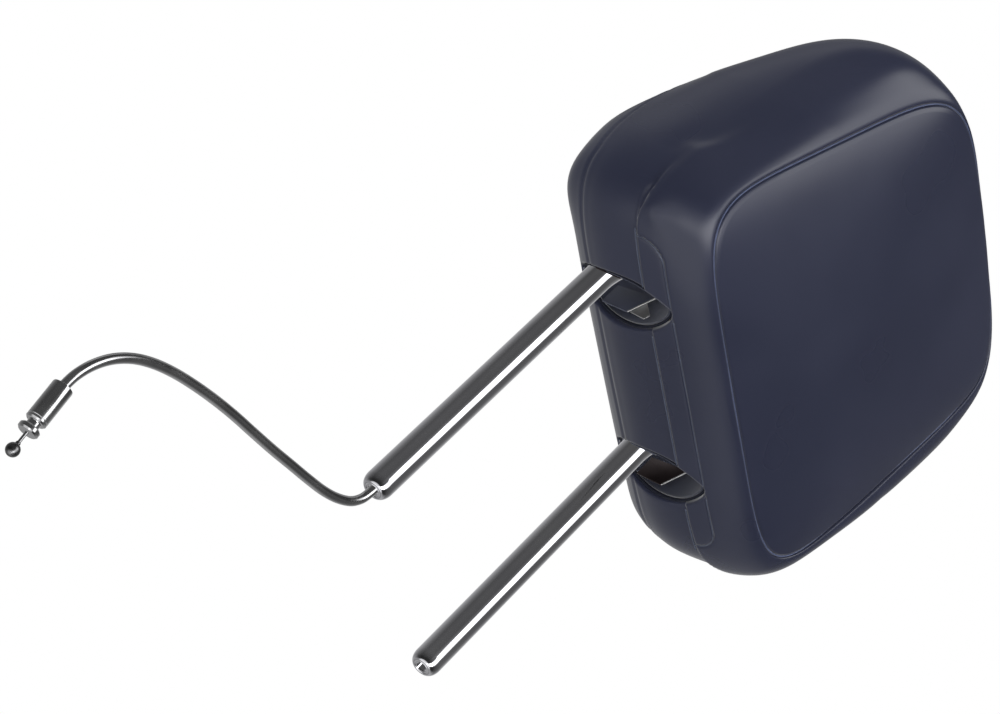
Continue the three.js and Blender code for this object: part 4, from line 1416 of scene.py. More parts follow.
@dataclass
class Cushion:
    """The cushion: cover pieces sewn over foam on a moulded core."""

    form: CushionForm = field(default_factory=CushionForm)
    hem_radius: float = 1.6
    hem_height: float = 7.0
    sleeve_inset: float = 2.4
    swell_cap: float = 1.6
    flap_half: float = 103.0
    flap_front: float = -55.6
    flap_corner: float = 15.0
    slot_places: tuple[float, float] = (-SLOT_X, SLOT_X)
    guide_gap: float = 10.6
    voxel: float = 5.0
    pressure: float = 4.0
    swell_steps: int = 20
    neighbours: int = 26
    foam_inset: float = 4.2

    def build(self) -> None:
        """Makes the cover, the slot sleeves, the seam threads and the foam."""
        self._skin()
        self._sleeves()
        self._threads()
        self._foam()

    @staticmethod
    def _fit(piece: bpy.types.Object, finish: Finish) -> None:
        """Finishes a piece of the cushion, leaves it out of reflections and lets it ride on the cushion.

        Args:
            piece: The piece.
            finish: Its finish.
        """
        finish.dress(piece)
        piece.visible_glossy = False
        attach(piece, "cushion")

    def _flap_outline(self) -> Outline:
        """Draws the flap in plan; its rear side lies behind the step.

        Returns:
            The outline.
        """
        corner = self.flap_corner
        half = self.flap_half
        front = self.flap_front
        points = []
        for start, middle in ((math.pi, corner - half), (1.5 * math.pi, half - corner)):
            for k in range(9):
                a = start + k / 8 * math.pi / 2
                points.append((middle + corner * math.cos(a), front + corner + corner * math.sin(a)))
        points += [(half, -20.0), (-half, -20.0)]
        return Outline(np.array(points))

    def _swell(self, points: np.ndarray, sewn: Callable[[np.ndarray], np.ndarray]) -> np.ndarray:
        """How far the padding swells the cover between its seams.

        Args:
            points: The skin's points, in millimetres.
            sewn: Gives 1 for points that are sewn down, down to 0.

        Returns:
            The swelling at each point, in millimetres.
        """
        angle = self.form.angles(lambda p: np.full(len(p), 7.0))
        reach = np.linspace(-0.97, 0.97, 90)
        grid = self.form.points(angle[:, None], reach[None, :])
        body = mesh_piece("swelling", grid.reshape(-1, 3) * MM, grid_faces(*grid.shape[:2]))
        facing_out(body)
        remesh = body.modifiers.new("voxels", "REMESH")
        remesh.mode = "VOXEL"
        remesh.voxel_size = self.voxel * MM
        apply_modifiers(body)
        rest = np.array([tuple(v.co) for v in body.data.vertices]) / MM
        normal = np.array([tuple(v.normal) for v in body.data.vertices])
        group = body.vertex_groups.new(name="sewn")
        for i, weight in enumerate(sewn(rest)):
            if weight > 0:
                group.add([i], float(weight), "REPLACE")
        cloth = body.modifiers.new("cover", "CLOTH")
        cloth.settings.use_pressure = True
        cloth.settings.uniform_pressure_force = self.pressure
        cloth.settings.effector_weights.gravity = 0
        cloth.settings.vertex_group_mass = "sewn"
        cloth.point_cache.frame_start = 1
        cloth.point_cache.frame_end = self.swell_steps
        scene = bpy.context.scene
        for step in range(1, self.swell_steps + 1):
            scene.frame_set(step)
        apply_modifiers(body)
        scene.frame_set(1)
        moved = np.array([tuple(v.co) for v in body.data.vertices]) / MM
        bpy.data.objects.remove(body)
        out = ((moved - rest) * normal).sum(1)
        out = self.swell_cap * np.tanh(out / self.swell_cap)
        tree = KDTree(len(rest))
        for i, p in enumerate(rest):
            tree.insert(p, i)
        tree.balance()
        made = np.zeros(len(points))
        for i, p in enumerate(points):
            near = tree.find_n(p, self.neighbours)
            weight = np.array([math.exp(-((d / self.voxel) ** 2)) for _, _, d in near]) + 1e-9
            made[i] = float(weight @ out[[k for _, k, _ in near]] / weight.sum())
        LOG.info("swelling %.2f to %.2f mm", made.min(), made.max())
        return made

    def _skin(self) -> None:
        """Makes the cover's pieces: panel, side, back and flap."""
        reach, marks = rows()

        def spacing(p: np.ndarray) -> np.ndarray:
            """Spaces the columns, closer together near the slots.

            Args:
                p: Points of the belly.

            Returns:
                The distance wanted at each.
            """
            low = p[:, 2] < 186
            near_slot = np.minimum(np.abs(np.abs(p[:, 0]) - SLOT_X) - 17, 40)
            near_end = np.minimum(np.abs(np.abs(p[:, 0]) - 98) - 12, 40)
            near = np.clip(np.minimum(near_slot, near_end), 0, 12) / 12
            return np.where(low, 1.15 + 1.15 * near, 2.3)

        angle = self.form.angles(spacing)
        grid = self.form.points(angle[:, None], reach[None, :])
        count, high = grid.shape[:2]
        length = np.zeros((count, high))
        length[:, 1:] = np.cumsum(np.linalg.norm(np.diff(grid, axis=1), axis=2), axis=1)
        from_seam = length - length[:, marks["seam"]][:, None]
        from_belly = length - length[:, marks["belly"]][:, None]
        from_rear = length - length[:, marks["rear"]][:, None]
        ahead = np.roll(grid, -1, axis=0) - np.roll(grid, 1, axis=0)
        along = np.gradient(grid, axis=1)
        normal = np.cross(ahead, along)
        normal /= np.linalg.norm(normal, axis=2, keepdims=True) + 1e-12
        if ((grid - np.array(MIDDLE)) * normal).sum() < 0:
            normal = -normal

        def sewn(p: np.ndarray) -> np.ndarray:
            """Marks what is sewn down, near the seams and the slots.

            Args:
                p: Points of the skin.

            Returns:
                1 where it is sewn down, down to 0.
            """
            tree = KDTree(3 * count)
            k = 0
            for mark in ("seam", "belly", "rear"):
                for q in grid[:, marks[mark]]:
                    tree.insert(q, k)
                    k += 1
            tree.balance()
            near = np.array([tree.find(q)[2] for q in p])
            near = np.where(p[:, 2] < 186, np.minimum(near, 5), near)
            return np.clip(1.6 - near / 5, 0, 1)

        flat = grid.reshape(-1, 3)
        swell = self._swell(flat, sewn)
        lift = swell.reshape(count, high) + self._relief(
            grid, angle, from_seam, from_belly, from_rear
        )
        grid = grid + normal * lift[:, :, None]
        self._cut_and_sew(grid, normal, marks)

    def _relief(
        self,
        grid: np.ndarray,
        angle: np.ndarray,
        from_seam: np.ndarray,
        from_belly: np.ndarray,
        from_rear: np.ndarray,
    ) -> np.ndarray:
        """Height of the sewn details over the plain surface.

        Args:
            grid: The plain surface.
            angle: Angle of each column; not used.
            from_seam: Distance behind the front seam.
            from_belly: Distance behind the belly.
            from_rear: Distance behind the rear seam.

        Returns:
            The heights, in millimetres.
        """
        x, y, z = grid[..., 0], grid[..., 1], grid[..., 2]
        under = smoothstep((190 - z) / 8) * (np.abs(x) < 133)
        # Front seam: a narrow groove; the panel is puffed up behind it and the band falls away flatter.
        lift = -1.3 * bell(from_seam, 0.8)
        lift += np.where(from_seam < 0, 2.3 * (1 - np.exp(np.minimum(from_seam, 0) / 14)), 0)
        lift += 0.2 * bell(from_seam - 3.0, 2.2)
        near_side = smoothstep((-x - 60) / 50)
        lift -= 1.7 * near_side * bell(from_seam - 15, 12) * (from_seam > -3)
        for fuller in FULLER_PLACES:
            lift += fuller.lift(grid)
        # Rear seam: shallow.
        lift += -0.9 * bell(from_rear, 0.8) + 0.2 * bell(from_rear + 3, 2.2) + 0.2 * bell(from_rear - 3, 2.2)
        # Step and crease between the front cushion and the rear shell.
        height_at = z[:, np.argmin(np.abs(from_belly[0]))]
        corner = smoothstep((210 - height_at) / 26)
        shift = np.interp(
            height_at, [178, 180, 184, 190, 203, 212, 222], [0, -0.6, -4.0, -7.0, -7.4, -6.0, -5.0]
        )
        loose = smoothstep((height_at - 181) / 8)[:, None]
        line = from_belly - shift[:, None] * bell(from_belly + 4, 14)
        deep = (1.5 + 1.3 * smoothstep((height_at - 178) / 8)) * corner
        fall = np.where(line > -0.2, 1 - smoothstep(line / 34), 0)
        fall *= smoothstep((line + 0.15) / (0.5 + 2.5 * loose))
        lift -= deep[:, None] * fall
        tight, slack = 0.35 * (1 - loose) * bell(line - 0.45, 0.45), 1.3 * loose * bell(line - 2, 2.0)
        lift -= corner[:, None] * (tight + slack)
        lift -= 0.35 * deep[:, None] * bell(np.minimum(line, 0), 0.7 + 3 * loose) * (line <= 0)
        # Soft valley up the sides and along the top.
        place = np.interp(
            height_at, [196, 220, 234, 255, 277, 312, 340, 376], [-6, -5, -8, -13, -18, -23, -24, -22]
        )
        off = from_belly - place[:, None]
        ahead_width = np.interp(height_at, [196, 212, 250, 300], [4, 7, 14, 18])[:, None]
        behind_width = np.interp(height_at, [196, 212, 250, 300], [9, 14, 19, 20])[:, None]
        valley = np.where(off < 0, bell(off, ahead_width), bell(off, behind_width))
        deepness = np.interp(height_at, [190, 212, 235, 290, 330], [0.0, 2.2, 1.7, 1.1, 0.0])
        lift -= deepness[:, None] * valley
        # Quiet seam of the rear shell.
        quiet = from_belly - np.interp(height_at, [180, 194, 225, 262], [42, 43.5, 60, 75])[:, None]
        lift += 0.15 * bell(quiet + 3, 2) - 0.55 * bell(quiet, 1.1) + 0.15 * bell(quiet - 3, 2)
        # Line of the flap.
        plan = grid[..., :2].reshape(-1, 2)
        flap, _ = self._flap_outline().distance(plan)
        flap = flap.reshape(x.shape)
        near = under * (from_belly < 1)
        lift -= 0.35 * near * bell(flap, 0.45)
        lift += 0.3 * near * smoothstep((flap - 0.2) / 0.9)
        # Dimple where each slot pulls the rear shell in.
        for sx in self.slot_places:
            dimple = np.hypot((x - sx - 16.5) / 3.0, (y + 32) / 9.0)
            lift -= 0.7 * under * bell(dimple, 1.0) * (from_belly > 0)
        return lift

    def _cut_and_sew(self, grid: np.ndarray, normal: np.ndarray, marks: dict[str, int]) -> None:
        """Cuts the slots out of the skin, parts it at the seams and turns its edges in.

        Args:
            grid: The finished surface.
            normal: Its normals.
            marks: The seam rows.
        """
        count, high = grid.shape[:2]
        points = grid.reshape(-1, 3).copy()
        normals = normal.reshape(-1, 3)
        quads, part = [], []
        seam, rear = marks["seam"], marks["rear"]
        limits = ((0, seam, Part.PANEL), (seam, rear, Part.SIDE), (rear, high - 1, Part.BACK))
        for start, end, which in limits:
            for j in range(start, end):
                for i in range(count):
                    n = (i + 1) % count
                    quads.append((i * high + j, n * high + j, n * high + j + 1, i * high + j + 1))
                    part.append(which.value)
        quads, part = np.array(quads), np.array(part)
        under = (normals[:, 2] < -0.25) & (points[:, 2] < 200)
        edges = np.unique(np.sort(sides_of(quads), axis=1), axis=0)
        on_slot = np.zeros(len(points), bool)
        way = np.zeros((len(points), 2))
        # The flap's line is snapped first, then the slots, whose outline wins where they meet.
        flap_line = self._flap_outline()
        ahead_of_step = (np.arange(len(points)) % high) <= marks["belly"]
        on_flap = np.zeros(len(points), bool)
        self._snap(points, normals, edges, under & ahead_of_step, flap_line, on_flap, way)
        for x in self.slot_places:
            self._snap(points, normals, edges, under, Slot(x).outline(self.hem_radius), on_slot, way)
        quads, part, side = self._part_along(quads, part, points, under, on_flap & ~on_slot, flap_line)
        before_step = (quads % high).max(1) <= marks["belly"]
        part[(side < 0) & before_step & (part == Part.SIDE.value)] = Part.FLAP.value
        for x in self.slot_places:
            outline = Slot(x).outline(self.hem_radius)
            quads, part, side = self._part_along(quads, part, points, under, on_slot, outline)
            quads, part = quads[side >= 0], part[side >= 0]
        stands_for = {
            Part.PANEL: ("front_panel", "cover_front"),
            Part.SIDE: ("side_cover", "cover_side", "cover_rear"),
            Part.BACK: ("back_panel", "cover_back"),
            Part.FLAP: ("closing_flap", "underside_flap"),
        }
        for which, (name, *nodes) in stands_for.items():
            own = quads[part == which.value]
            piece = self._sew(name, which, own, points, normals, on_slot, way, grid)
            self._fit(piece, LEATHER)
            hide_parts(*nodes)
            LOG.info("%s, %d faces", piece.name, len(piece.data.polygons))

    @staticmethod
    def _snap(
        points: np.ndarray,
        normals: np.ndarray,
        edges: np.ndarray,
        where: np.ndarray,
        outline: Outline,
        on: np.ndarray,
        way: np.ndarray,
    ) -> None:
        """Moves the nearest points of the skin onto an outline.

        Args:
            points: The skin's points, which are changed.
            normals: Their normals.
            edges: Pairs of neighbours.
            where: Points that may move.
            outline: The line.
            on: Marks the points that lie on it.
            way: Takes the way out of it for each such point.
        """
        distance, out = np.full(len(points), 1e9), np.zeros((len(points), 2))
        distance[where], out[where] = outline.distance(points[where][:, :2])
        pairs = edges[where[edges].all(1)]
        a, b = pairs[:, 0], pairs[:, 1]
        crossing = (distance[a] < 0) != (distance[b] < 0)
        pick = np.where(np.abs(distance[a]) < np.abs(distance[b]), a, b)[crossing]
        pick = np.unique(pick)
        step = -out[pick] * distance[pick][:, None]
        points[pick, 0] += step[:, 0]
        points[pick, 1] += step[:, 1]
        n = normals[pick]
        points[pick, 2] -= (n[:, 0] * step[:, 0] + n[:, 1] * step[:, 1]) / np.minimum(n[:, 2], -0.2)
        on[pick] = True
        way[pick] = out[pick]

    @staticmethod
    def _part_along(
        quads: np.ndarray,
        part: np.ndarray,
        points: np.ndarray,
        where: np.ndarray,
        on: np.ndarray,
        outline: Outline,
    ) -> tuple[np.ndarray, np.ndarray, np.ndarray]:
        """Splits the faces that an outline runs across, from corner to corner.

        Args:
            quads: The faces; a triangle repeats its last point.
            part: The cover piece of each face.
            points: The skin's points.
            where: Points that the outline can concern.
            on: Marks of the points on the outline.
            outline: The line.

        Returns:
            The faces, their cover pieces, and -1 for the faces inside the outline or 1.
        """
        distance = np.full(len(points), 1e9)
        distance[where] = outline.distance(points[where][:, :2])[0]
        corner = np.where(on[quads], 0, np.sign(distance[quads]))
        crossed = (corner.min(1) < 0) & (corner.max(1) > 0)
        extra, extra_part, extra_side = [], [], []
        side = np.where(corner.min(1) < 0, -1.0, 1.0)
        flat = (corner == 0).all(1)
        side[flat] = np.sign(outline.distance(points[quads[flat]].mean(1)[:, :2])[0] + 1e-3)
        for f in np.nonzero(crossed)[0]:
            face, sign = quads[f], corner[f]
            inner = int(np.argmin(sign))
            a, b, c, d = (int(face[(inner + k) % 4]) for k in range(4))
            if sign[(inner + 2) % 4] > 0 and sign[(inner + 1) % 4] <= 0 and sign[(inner + 3) % 4] <= 0:
                quads[f] = (a, b, d, d)
                extra.append((b, c, d, d))
                extra_part.append(part[f])
                extra_side.append(1.0)
            else:
                side[f] = np.sign(outline.distance(points[face].mean(0)[None, :2])[0][0])
        if extra:
            quads = np.concatenate([quads, np.array(extra)])
            part = np.concatenate([part, extra_part])
            side = np.concatenate([side, extra_side])
        return quads, part, side

    def _sew(
        self,
        name: str,
        which: Part,
        quads: np.ndarray,
        points: np.ndarray,
        normals: np.ndarray,
        on_slot: np.ndarray,
        way: np.ndarray,
        grid: np.ndarray,
    ) -> bpy.types.Object:
        """Makes one piece of the cover, with its edges turned in.

        Args:
            name: The piece's name.
            which: Which part of the cover it is.
            quads: Its faces.
            points: All points of the skin.
            normals: Their normals.
            on_slot: Marks of the points on a slot's outline.
            way: The way out of the slot at those points.
            grid: The skin's grid, for the middles of the two large panels.

        Returns:
            The piece.
        """
        used = np.unique(quads)
        index = np.full(len(points), -1)
        index[used] = np.arange(len(used))
        made = [points[used]]
        total = len(used)
        faces = [tuple(dict.fromkeys(index[q].tolist())) for q in quads]
        seen = {(int(a), int(b)) for a, b in sides_of(quads) if a != b}
        rim = [(a, b) for a, b in seen if (b, a) not in seen]
        high = grid.shape[1]
        pole_row = 0 if which is Part.PANEL else high - 1 if which is Part.BACK else None
        if pole_row is not None:
            ring = grid[:, pole_row]
            middle = ring.mean(0)
            made.append(middle[None])
            hub = total
            total += 1
            for a, b in [e for e in rim if e[0] % high == pole_row and e[1] % high == pole_row]:
                faces.append((int(index[b]), int(index[a]), hub))
            rim = [e for e in rim if not (e[0] % high == pole_row and e[1] % high == pole_row)]
        slot_rim = [e for e in rim if on_slot[e[0]] and on_slot[e[1]]]
        seam_rim = [e for e in rim if not (on_slot[e[0]] and on_slot[e[1]])]
        for edge_list, rings in ((slot_rim, self._hem_rings()), (seam_rim, [(0.0, 0.8), (0.0, 2.6)])):
            if not edge_list:
                continue
            ends = np.unique(np.array(edge_list))
            previous = {int(v): int(index[v]) for v in ends}
            for inward, upward in rings:
                if edge_list is slot_rim:
                    shift = np.zeros((len(ends), 3))
                    shift[:, :2] = -way[ends] * inward
                    shift[:, 2] = upward
                else:
                    shift = -normals[ends] * upward
                made.append(points[ends] + shift)
                now = {int(v): total + k for k, v in enumerate(ends)}
                total += len(ends)
                for a, b in edge_list:
                    faces.append((previous[int(b)], previous[int(a)], now[int(a)], now[int(b)]))
                previous = now
        piece = mesh_piece(name, np.concatenate(made) * MM, faces)
        self._outward(piece)
        return piece

    def _hem_rings(self) -> list[tuple[float, float]]:
        """Draws a slot's hem.

        Returns:
            How far inward and upward each of its rings lies.
        """
        r = self.hem_radius
        rings = [(r * math.sin(a), r * (1 - math.cos(a))) for a in np.linspace(0.3, math.pi / 2, 5)]
        return [*rings, (r, r + 1.5), (r - 0.3, self.hem_height)]

    @staticmethod
    def _outward(piece: bpy.types.Object) -> None:
        """Turns a skin piece's faces away from the cushion's middle.

        Args:
            piece: The piece.
        """
        mesh = piece.data
        centre = Vector(MIDDLE) * MM
        total = sum((f.center - centre).dot(f.normal) * f.area for f in mesh.polygons)
        if total < 0:
            mesh.flip_normals()

    def _sleeves(self) -> None:
        """Makes the sleeve inside each slot, a little in from the cover's hem, its lining coloured lighter
        than the leather as painted light, and a near-black bead round its mouth as painted shadow.
        """
        for side, x in zip(("left", "right"), self.slot_places):
            self._guides(side, x)
            outline = Slot(x).outline(-self.sleeve_inset).points
            count = len(outline)
            y = outline[:, 1]
            low = self._underside_height(outline) + 3.2
            rings = []
            walls = ((0.0, 0.8), (0.015, 0.35), (0.04, 0.08), (0.08, 0.0), (0.3, 1.2), (1.0, 3.2))
            for share, inset in walls:
                ring = Slot(x).outline(-self.sleeve_inset - inset).points
                rings.append(np.c_[ring, low + (214.0 - low) * share])
            inner = [
                np.c_[Slot(x).outline(1.2 - self.sleeve_inset - inset).points, rings[k][:, 2]]
                for k, inset in ((5, 3.2), (4, 1.2), (3, 0.0), (2, 0.0))
            ]
            points = np.concatenate([*rings, *inner])
            faces = []
            for j in range(len(rings) + len(inner)):
                m = (j + 1) % (len(rings) + len(inner))
                for i in range(count):
                    n = (i + 1) % count
                    faces.append((j * count + i, j * count + n, m * count + n, m * count + i))
            piece = mesh_piece(f"slot_sleeve_{side}", points * MM, faces)
            facing_out(piece)
            smooth(piece, 50)
            # The sleeve's lighter lining colour is painted light.
            self._fit(piece, PAINTED_LIGHT_LINING)
            # A near-black bead round the slot's mouth paints the shadow in the gap under the hem.
            edge = Slot(x).outline(-1.3).points
            height = self._underside_height(edge) + 3.1
            down = np.tile([0.0, 0.0, -1.0], (len(edge), 1))
            self._bead(f"slot_painted_shadow_{side}", np.c_[edge, height], down, 0.8, True, SHADOW_BEAD)
            LOG.info("%s, %d faces", piece.name, len(piece.data.polygons))

    def _guides(self, side: str, x: float) -> None:
        """Folds the sheet guides that stand beside a post in its slot, each with a bare steel lip; the inner
        one also gets a bare steel wing.

        Args:
            side: Which slot, for the name.
            x: The slot's middle.
        """
        for wall, way in (("outer", math.copysign(1, x)), ("inner", -math.copysign(1, x))):
            here = x + way * self.guide_gap
            guide = self._sheet_piece(
                f"post_guide_{side}_{wall}",
                ((here, -4, 184), (here, -22, 181), (here, -4, 199), (here, -29.5, 197)),
            )
            lip = np.linspace((here, -22.3, 181.4), (here, -29.5, 196.6), 24)
            ahead = np.tile([0.0, -1.0, 0.0], (len(lip), 1))
            self._bead(f"guide_lip_{side}_{wall}", lip, ahead, 0.5, False, BARE)
            # The inner guide takes the lining's colour, which is painted light.
            self._fit(guide, GUIDE if wall == "outer" else PAINTED_LIGHT_LINING)
            if wall == "outer":
                continue
            wing = self._sheet_piece(
                f"guide_wing_{side}_{wall}",
                (
                    (here + way * 0.3, -23.6, 182), (here + way * 1.6, -33, 180.8),
                    (here + way * 0.3, -28.0, 191.5), (here + way * 1.6, -34.4, 184.5),
                ),
            )
            self._fit(wing, BARE)

    @staticmethod
    def _sheet_piece(name: str, corners: Sequence[Point]) -> bpy.types.Object:
        """Cuts one flat sheet with four corners and rounds its edges.

        Args:
            name: The piece's name.
            corners: Its corners in millimetres: low rear, low front, high rear, high front.

        Returns:
            The sheet.
        """
        deselect()
        bpy.ops.mesh.primitive_plane_add(size=10 * MM)
        sheet = name_piece(name)
        settle(sheet)
        hold(sheet)
        for number, corner in enumerate(corners):
            for v in sheet.data.vertices:
                v.select = v.index == number
            for part in (*sheet.data.edges, *sheet.data.polygons):
                part.select = False
            step = Vector(corner) * MM - sheet.data.vertices[number].co
            bpy.ops.object.mode_set(mode="EDIT")
            bpy.ops.transform.translate(value=step)
            bpy.ops.object.mode_set(mode="OBJECT")
        wall = sheet.modifiers.new("sheet", "SOLIDIFY")
        wall.thickness = 0.8 * MM
        wall.offset = 0
        rounded = sheet.modifiers.new("edges", "BEVEL")
        rounded.width = 0.25 * MM
        rounded.segments = 2
        apply_modifiers(sheet)
        facing_out(sheet)
        smooth(sheet, 30)
        return sheet

    def _underside_height(self, plan: np.ndarray) -> np.ndarray:
        """Finds how high the underside is near the slots.

        Args:
            plan: Points in plan.

        Returns:
            The height over each.
        """
        reach = np.linspace(-0.2, 0.45, 200)
        line = self.form.points(np.array([[-math.pi / 2 + 0.02]]), reach[None, :])[0]
        return np.interp(plan[:, 1], line[:, 1], line[:, 2])

    def _threads(self) -> None:
        """Lays the thread in the front seam, and light beads along the edges of the flap and the step as
        painted highlights.
        """
        angle = self.form.angles(lambda p: np.full(len(p), 2.5))
        ring = self.form.points(angle, np.full(len(angle), -0.5))
        outer = self.form.points(angle, np.full(len(angle), -0.49))
        along = np.roll(ring, -1, axis=0) - np.roll(ring, 1, axis=0)
        normal = np.cross(along, outer - ring)
        normal /= np.linalg.norm(normal, axis=1, keepdims=True)
        if normal[:, 1].mean() > 0:
            normal = -normal
        # The thread's light blue is partly a painted highlight.
        self._bead("front_seam_thread", ring - normal * 0.65, normal, 0.5, True, THREAD_WITH_HIGHLIGHT)
        line = self._flap_outline().points[:18]
        steps = np.r_[0, np.cumsum(np.linalg.norm(np.diff(line, axis=0), axis=1))]
        at = np.linspace(0, steps[-1], 170)
        plan = np.stack([np.interp(at, steps, line[:, k]) for k in (0, 1)], -1)
        self._beads_on_underside("flap_edge", plan, 0.10, 0.30)
        across = np.linspace(-107, 107, 160)
        plan = np.stack([across, np.full(160, self._step_place())], -1)
        self._beads_on_underside("step_edge", plan, 0.05, 0.36)

    @staticmethod
    def _step_place() -> float:
        """Where the step between the front cushion and the rear shell lies on the underside."""
        return float(BELLY_LOOP.points(np.array([-math.pi / 2]))[0, 1])

    def _beads_on_underside(self, name: str, plan: np.ndarray, lift: float, radius: float) -> None:
        """Lays a light bead along an edge of the underside, as a painted highlight, left out where the slots
        are.

        Args:
            name: The pieces' name.
            plan: The edge in plan.
            lift: How far its centre lies under the plain surface.
            radius: Its radius.
        """
        outside = np.ones(len(plan), bool)
        for x in self.slot_places:
            outside &= Slot(x).outline(self.hem_radius + 0.4).distance(plan)[0] > 0
        runs = np.split(np.arange(len(plan)), np.nonzero(np.diff(outside.astype(int)))[0] + 1)
        count = 0
        for run in runs:
            if not outside[run[0]] or len(run) < 4:
                continue
            count += 1
            here = plan[run]
            height = self._skin_height(here)
            normal = np.tile([0.0, 0.0, -1.0], (len(here), 1))
            line = np.c_[here, height - lift + 0.1]
            # The bead's lighter colour is a painted highlight on the edge.
            self._bead(f"{name}_{count}", line, normal, radius, False, HIGHLIGHT_BEAD)

    def _skin_height(self, plan: np.ndarray) -> np.ndarray:
        """Finds how high the plain underside is, out to its corners.

        Args:
            plan: Points in plan.

        Returns:
            The height over each.
        """
        angle = np.linspace(math.pi * 1.02, math.pi * 1.98, 500)
        reach = np.linspace(-0.35, 0.3, 200)
        grid = self.form.points(angle[:, None], reach[None, :]).reshape(-1, 3)
        grid = grid[grid[:, 2] < 196]
        tree = KDTree(len(grid))
        for i, p in enumerate(grid):
            tree.insert((p[0], p[1], 0.0), i)
        tree.balance()
        made = []
        for p in plan:
            near = tree.find_n((p[0], p[1], 0.0), 4)
            weight = np.array([1 / (d + 0.05) for _, _, d in near])
            made.append(float(weight @ grid[[k for _, k, _ in near], 2] / weight.sum()))
        return np.array(made)

    def _bead(
        self, name: str, line: np.ndarray, normal: np.ndarray, radius: float, closed: bool, finish: Finish
    ) -> None:
        """Sweeps a thin round bead along a line.

        Args:
            name: The piece's name.
            line: Its centre line.
            normal: The surface's normal along it.
            radius: Its radius.
            closed: Whether its ends meet.
            finish: Its finish.
        """
        if closed:
            along = np.roll(line, -1, axis=0) - np.roll(line, 1, axis=0)
        else:
            along = np.gradient(line, axis=0)
        along /= np.linalg.norm(along, axis=1, keepdims=True)
        side = np.cross(normal, along)
        side /= np.linalg.norm(side, axis=1, keepdims=True)
        sides = 8
        turn = 2 * math.pi * np.arange(sides) / sides
        ring = np.cos(turn)[None, :, None] * side[:, None] + np.sin(turn)[None, :, None] * normal[:, None]
        points = line[:, None] + radius * ring
        count = len(line)
        faces = []
        for i in range(count if closed else count - 1):
            n = (i + 1) % count
            for k in range(sides):
                m = (k + 1) % sides
                faces.append((i * sides + k, i * sides + m, n * sides + m, n * sides + k))
        if not closed:
            faces.append(tuple(range(sides))[::-1])
            faces.append(tuple((count - 1) * sides + k for k in range(sides)))
        piece = mesh_piece(name, points.reshape(-1, 3) * MM, faces)
        facing_out(piece)
        self._fit(piece, finish)

    def _foam(self) -> None:
        """Makes the foam that fills the cover round the core."""
        angle = self.form.angles(lambda p: np.full(len(p), 6.0))
        reach = np.linspace(-0.96, 0.96, 70)
        grid = self.form.points(angle[:, None], reach[None, :])
        centre = np.array(MIDDLE)
        size = np.array([277.0, 150.0, 200.0])
        grid = centre + (grid - centre) * (1 - 2 * self.foam_inset / size)
        piece = mesh_piece("foam_filling", grid.reshape(-1, 3) * MM, grid_faces(*grid.shape[:2]))
        facing_out(piece)
        for x in self.slot_places:
            self._bore(piece, x)
        self._core_room(piece)
        smooth(piece, 40)
        self._fit(piece, FOAM)
        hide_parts("foam_front", "foam_rear")
        LOG.info("foam, %d faces", len(piece.data.polygons))

    def _bore(self, foam: bpy.types.Object, x: float) -> None:
        """Cuts a slot's room out of the foam.

        Args:
            foam: The foam.
            x: The slot's middle.
        """
        line = Slot(x).outline(1.2).points
        count = len(line)
        points = np.concatenate([np.c_[line, np.full(count, 150.0)], np.c_[line, np.full(count, 222.0)]])
        faces = [(i, (i + 1) % count, count + (i + 1) % count, count + i) for i in range(count)]
        faces += [tuple(range(count))[::-1], tuple(range(count, 2 * count))]
        cutter = mesh_piece("slot_cutter", points * MM, faces)
        facing_out(cutter)
        subtract(foam, cutter)

    def _core_room(self, foam: bpy.types.Object) -> None:
        """Cuts the room of the moulded core out of the foam.

        Args:
            foam: The foam.
        """
        low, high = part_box("core_front")
        low2, high2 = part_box("core_rear")
        deselect()
        bpy.ops.mesh.primitive_cube_add(size=1)
        cutter = name_piece("core_cutter")
        margin = 0.4 * MM
        bottom, top = min(low.z, low2.z) - margin, max(high.z, high2.z) + margin
        half_low, half_high = high.x + margin, 82 * MM + margin

        def wall(start: float, lean: float, z: float) -> float:
            """Gives the y of the core's front or back wall at a height."""
            return -0.060 + start - math.tan(math.radians(lean)) * (z - 0.290)

        hold(cutter)
        for v in cutter.data.vertices:
            z = top if v.co.z > 0 else bottom
            half = half_high if v.co.z > 0 else half_low
            y = wall(0.0244, 30, z) if v.co.y > 0 else wall(-0.0274, 13, z)
            v.co = (math.copysign(half, v.co.x), y, z)
        subtract(foam, cutter)


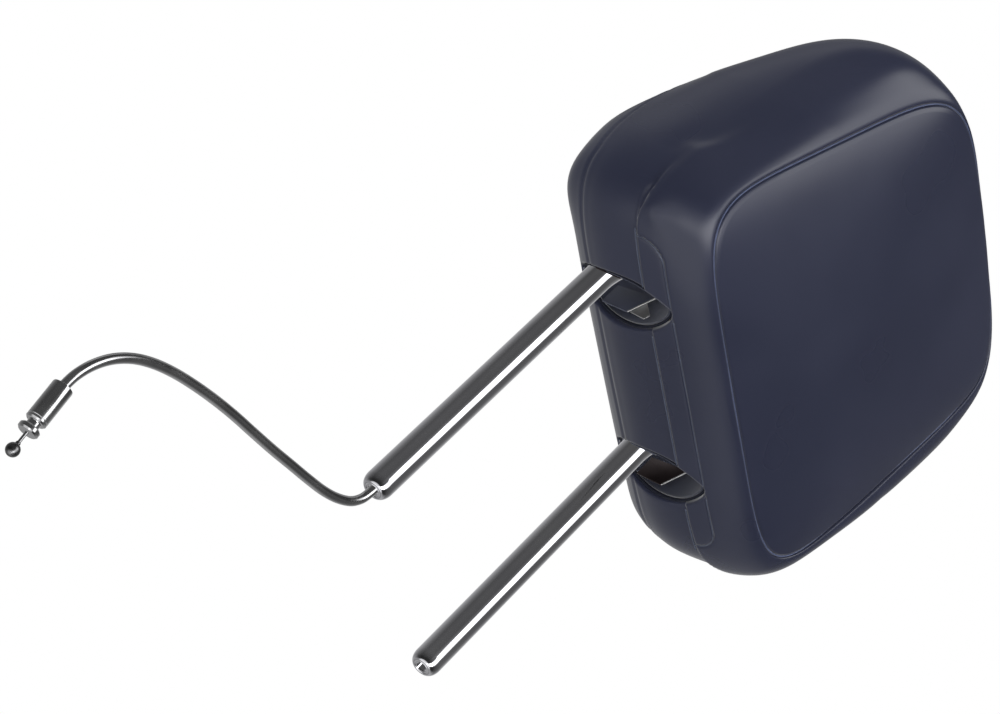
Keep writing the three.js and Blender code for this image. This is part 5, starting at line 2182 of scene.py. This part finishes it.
@dataclass
class ClutchSpring:
    """The wrap spring on the drum: one end held by the bracket, the other turned by the release lever."""

    pivot: Point = (0.0, -60 * MM, 290 * MM)
    lean: float = math.atan2(60, 90)
    wire: float = 2 * MM
    coil: float = 11.6 * MM
    lever: float = -21 * MM
    first: float = -15 * MM
    pitch: float = 2.7 * MM
    turns: int = 7
    anchor: float = 17.4 * MM
    corner: float = 1.5 * MM

    def build(self) -> None:
        """Winds the spring from the lever to the bracket."""
        c = self.corner
        begin = math.atan2(c, self.coil)
        end = -math.asin(c / (self.coil + c))
        reach = math.hypot(self.coil, c)
        deselect()
        bpy.ops.mesh.primitive_circle_add(
            vertices=12, radius=self.wire / 2, fill_type="NOTHING", location=(self.lever, reach, 0),
            rotation=(0, math.pi / 2, 0),
        )
        piece = name_piece("clutch_spring_coils")
        settle(piece)
        bpy.ops.object.mode_set(mode="EDIT")
        bpy.ops.mesh.select_all(action="SELECT")
        push((self.first - c - self.lever, 0, 0))
        centre = Vector((self.first - c, reach - c * math.sin(begin), c * math.cos(begin)))
        bend(centre, Vector((0, -math.cos(begin), -math.sin(begin))), math.pi / 2, 5)
        turn = 2 * math.pi * self.turns + end - begin
        steps = 24 * self.turns
        for _ in range(steps):
            bend(Vector((0, 0, 0)), Vector((1, 0, 0)), turn / steps, 1)
            bpy.ops.transform.translate(value=(self.pitch * turn / (2 * math.pi * steps), 0, 0))
        last = self.first + self.pitch * turn / (2 * math.pi)
        middle = (self.coil + c) * math.cos(end)
        bend(Vector((last, middle, -c)), Vector((-1, 0, 0)), math.pi / 2 + end, 5)
        push((0, self.anchor - middle, 0))
        bpy.ops.object.mode_set(mode="OBJECT")
        close_ends(piece)
        facing_out(piece)
        smooth(piece, 50)
        settle(piece, Matrix.Translation(self.pivot) @ Matrix.Rotation(self.lean, 4, "X"))
        SPRING.dress(piece)
        piece.visible_glossy = False
        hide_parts("clutch_spring")
        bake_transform(piece)
        LOG.info("clutch spring, %d faces", len(piece.data.polygons))


@dataclass
class Mechanism:
    """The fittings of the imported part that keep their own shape."""

    finishes: tuple[tuple[Finish, tuple[str, ...]], ...] = (
        (PRESSED, ("lever_bracket", "release_lever", "stop_bracket_left", "stop_bracket_right")),
        (SHEATH, ("inner_sheath", "upper_wire", "cable_nipple")),
        (FITTING, ("clutch_drum", "core_screw_1", "core_screw_2", "core_screw_3", "core_screw_4")),
        (MOULDING, ("core_front", "core_rear")),
        (NYLON, ("bush_left", "bush_right")),
        (RUBBER, ("rest_buffer_left", "rest_buffer_right")),
    )

    def build(self) -> None:
        """Gives each node its finish."""
        for finish, names in self.finishes:
            for name in names:
                finish.dress_node(name)
                LOG.info("%s in %s", name, finish.name)


def main() -> None:
    """Builds the scene, piece by piece."""
    logging.basicConfig(level=logging.INFO, format="%(name)s: %(message)s")
    studio = Studio()
    studio.place_camera()
    ReleaseCable().build()
    studio.light()
    StayTube().build()
    Cushion().build()
    ClutchSpring().build()
    Mechanism().build()
    studio.lay_floor()
    deselect()


if __name__ == "__main__":
    main()
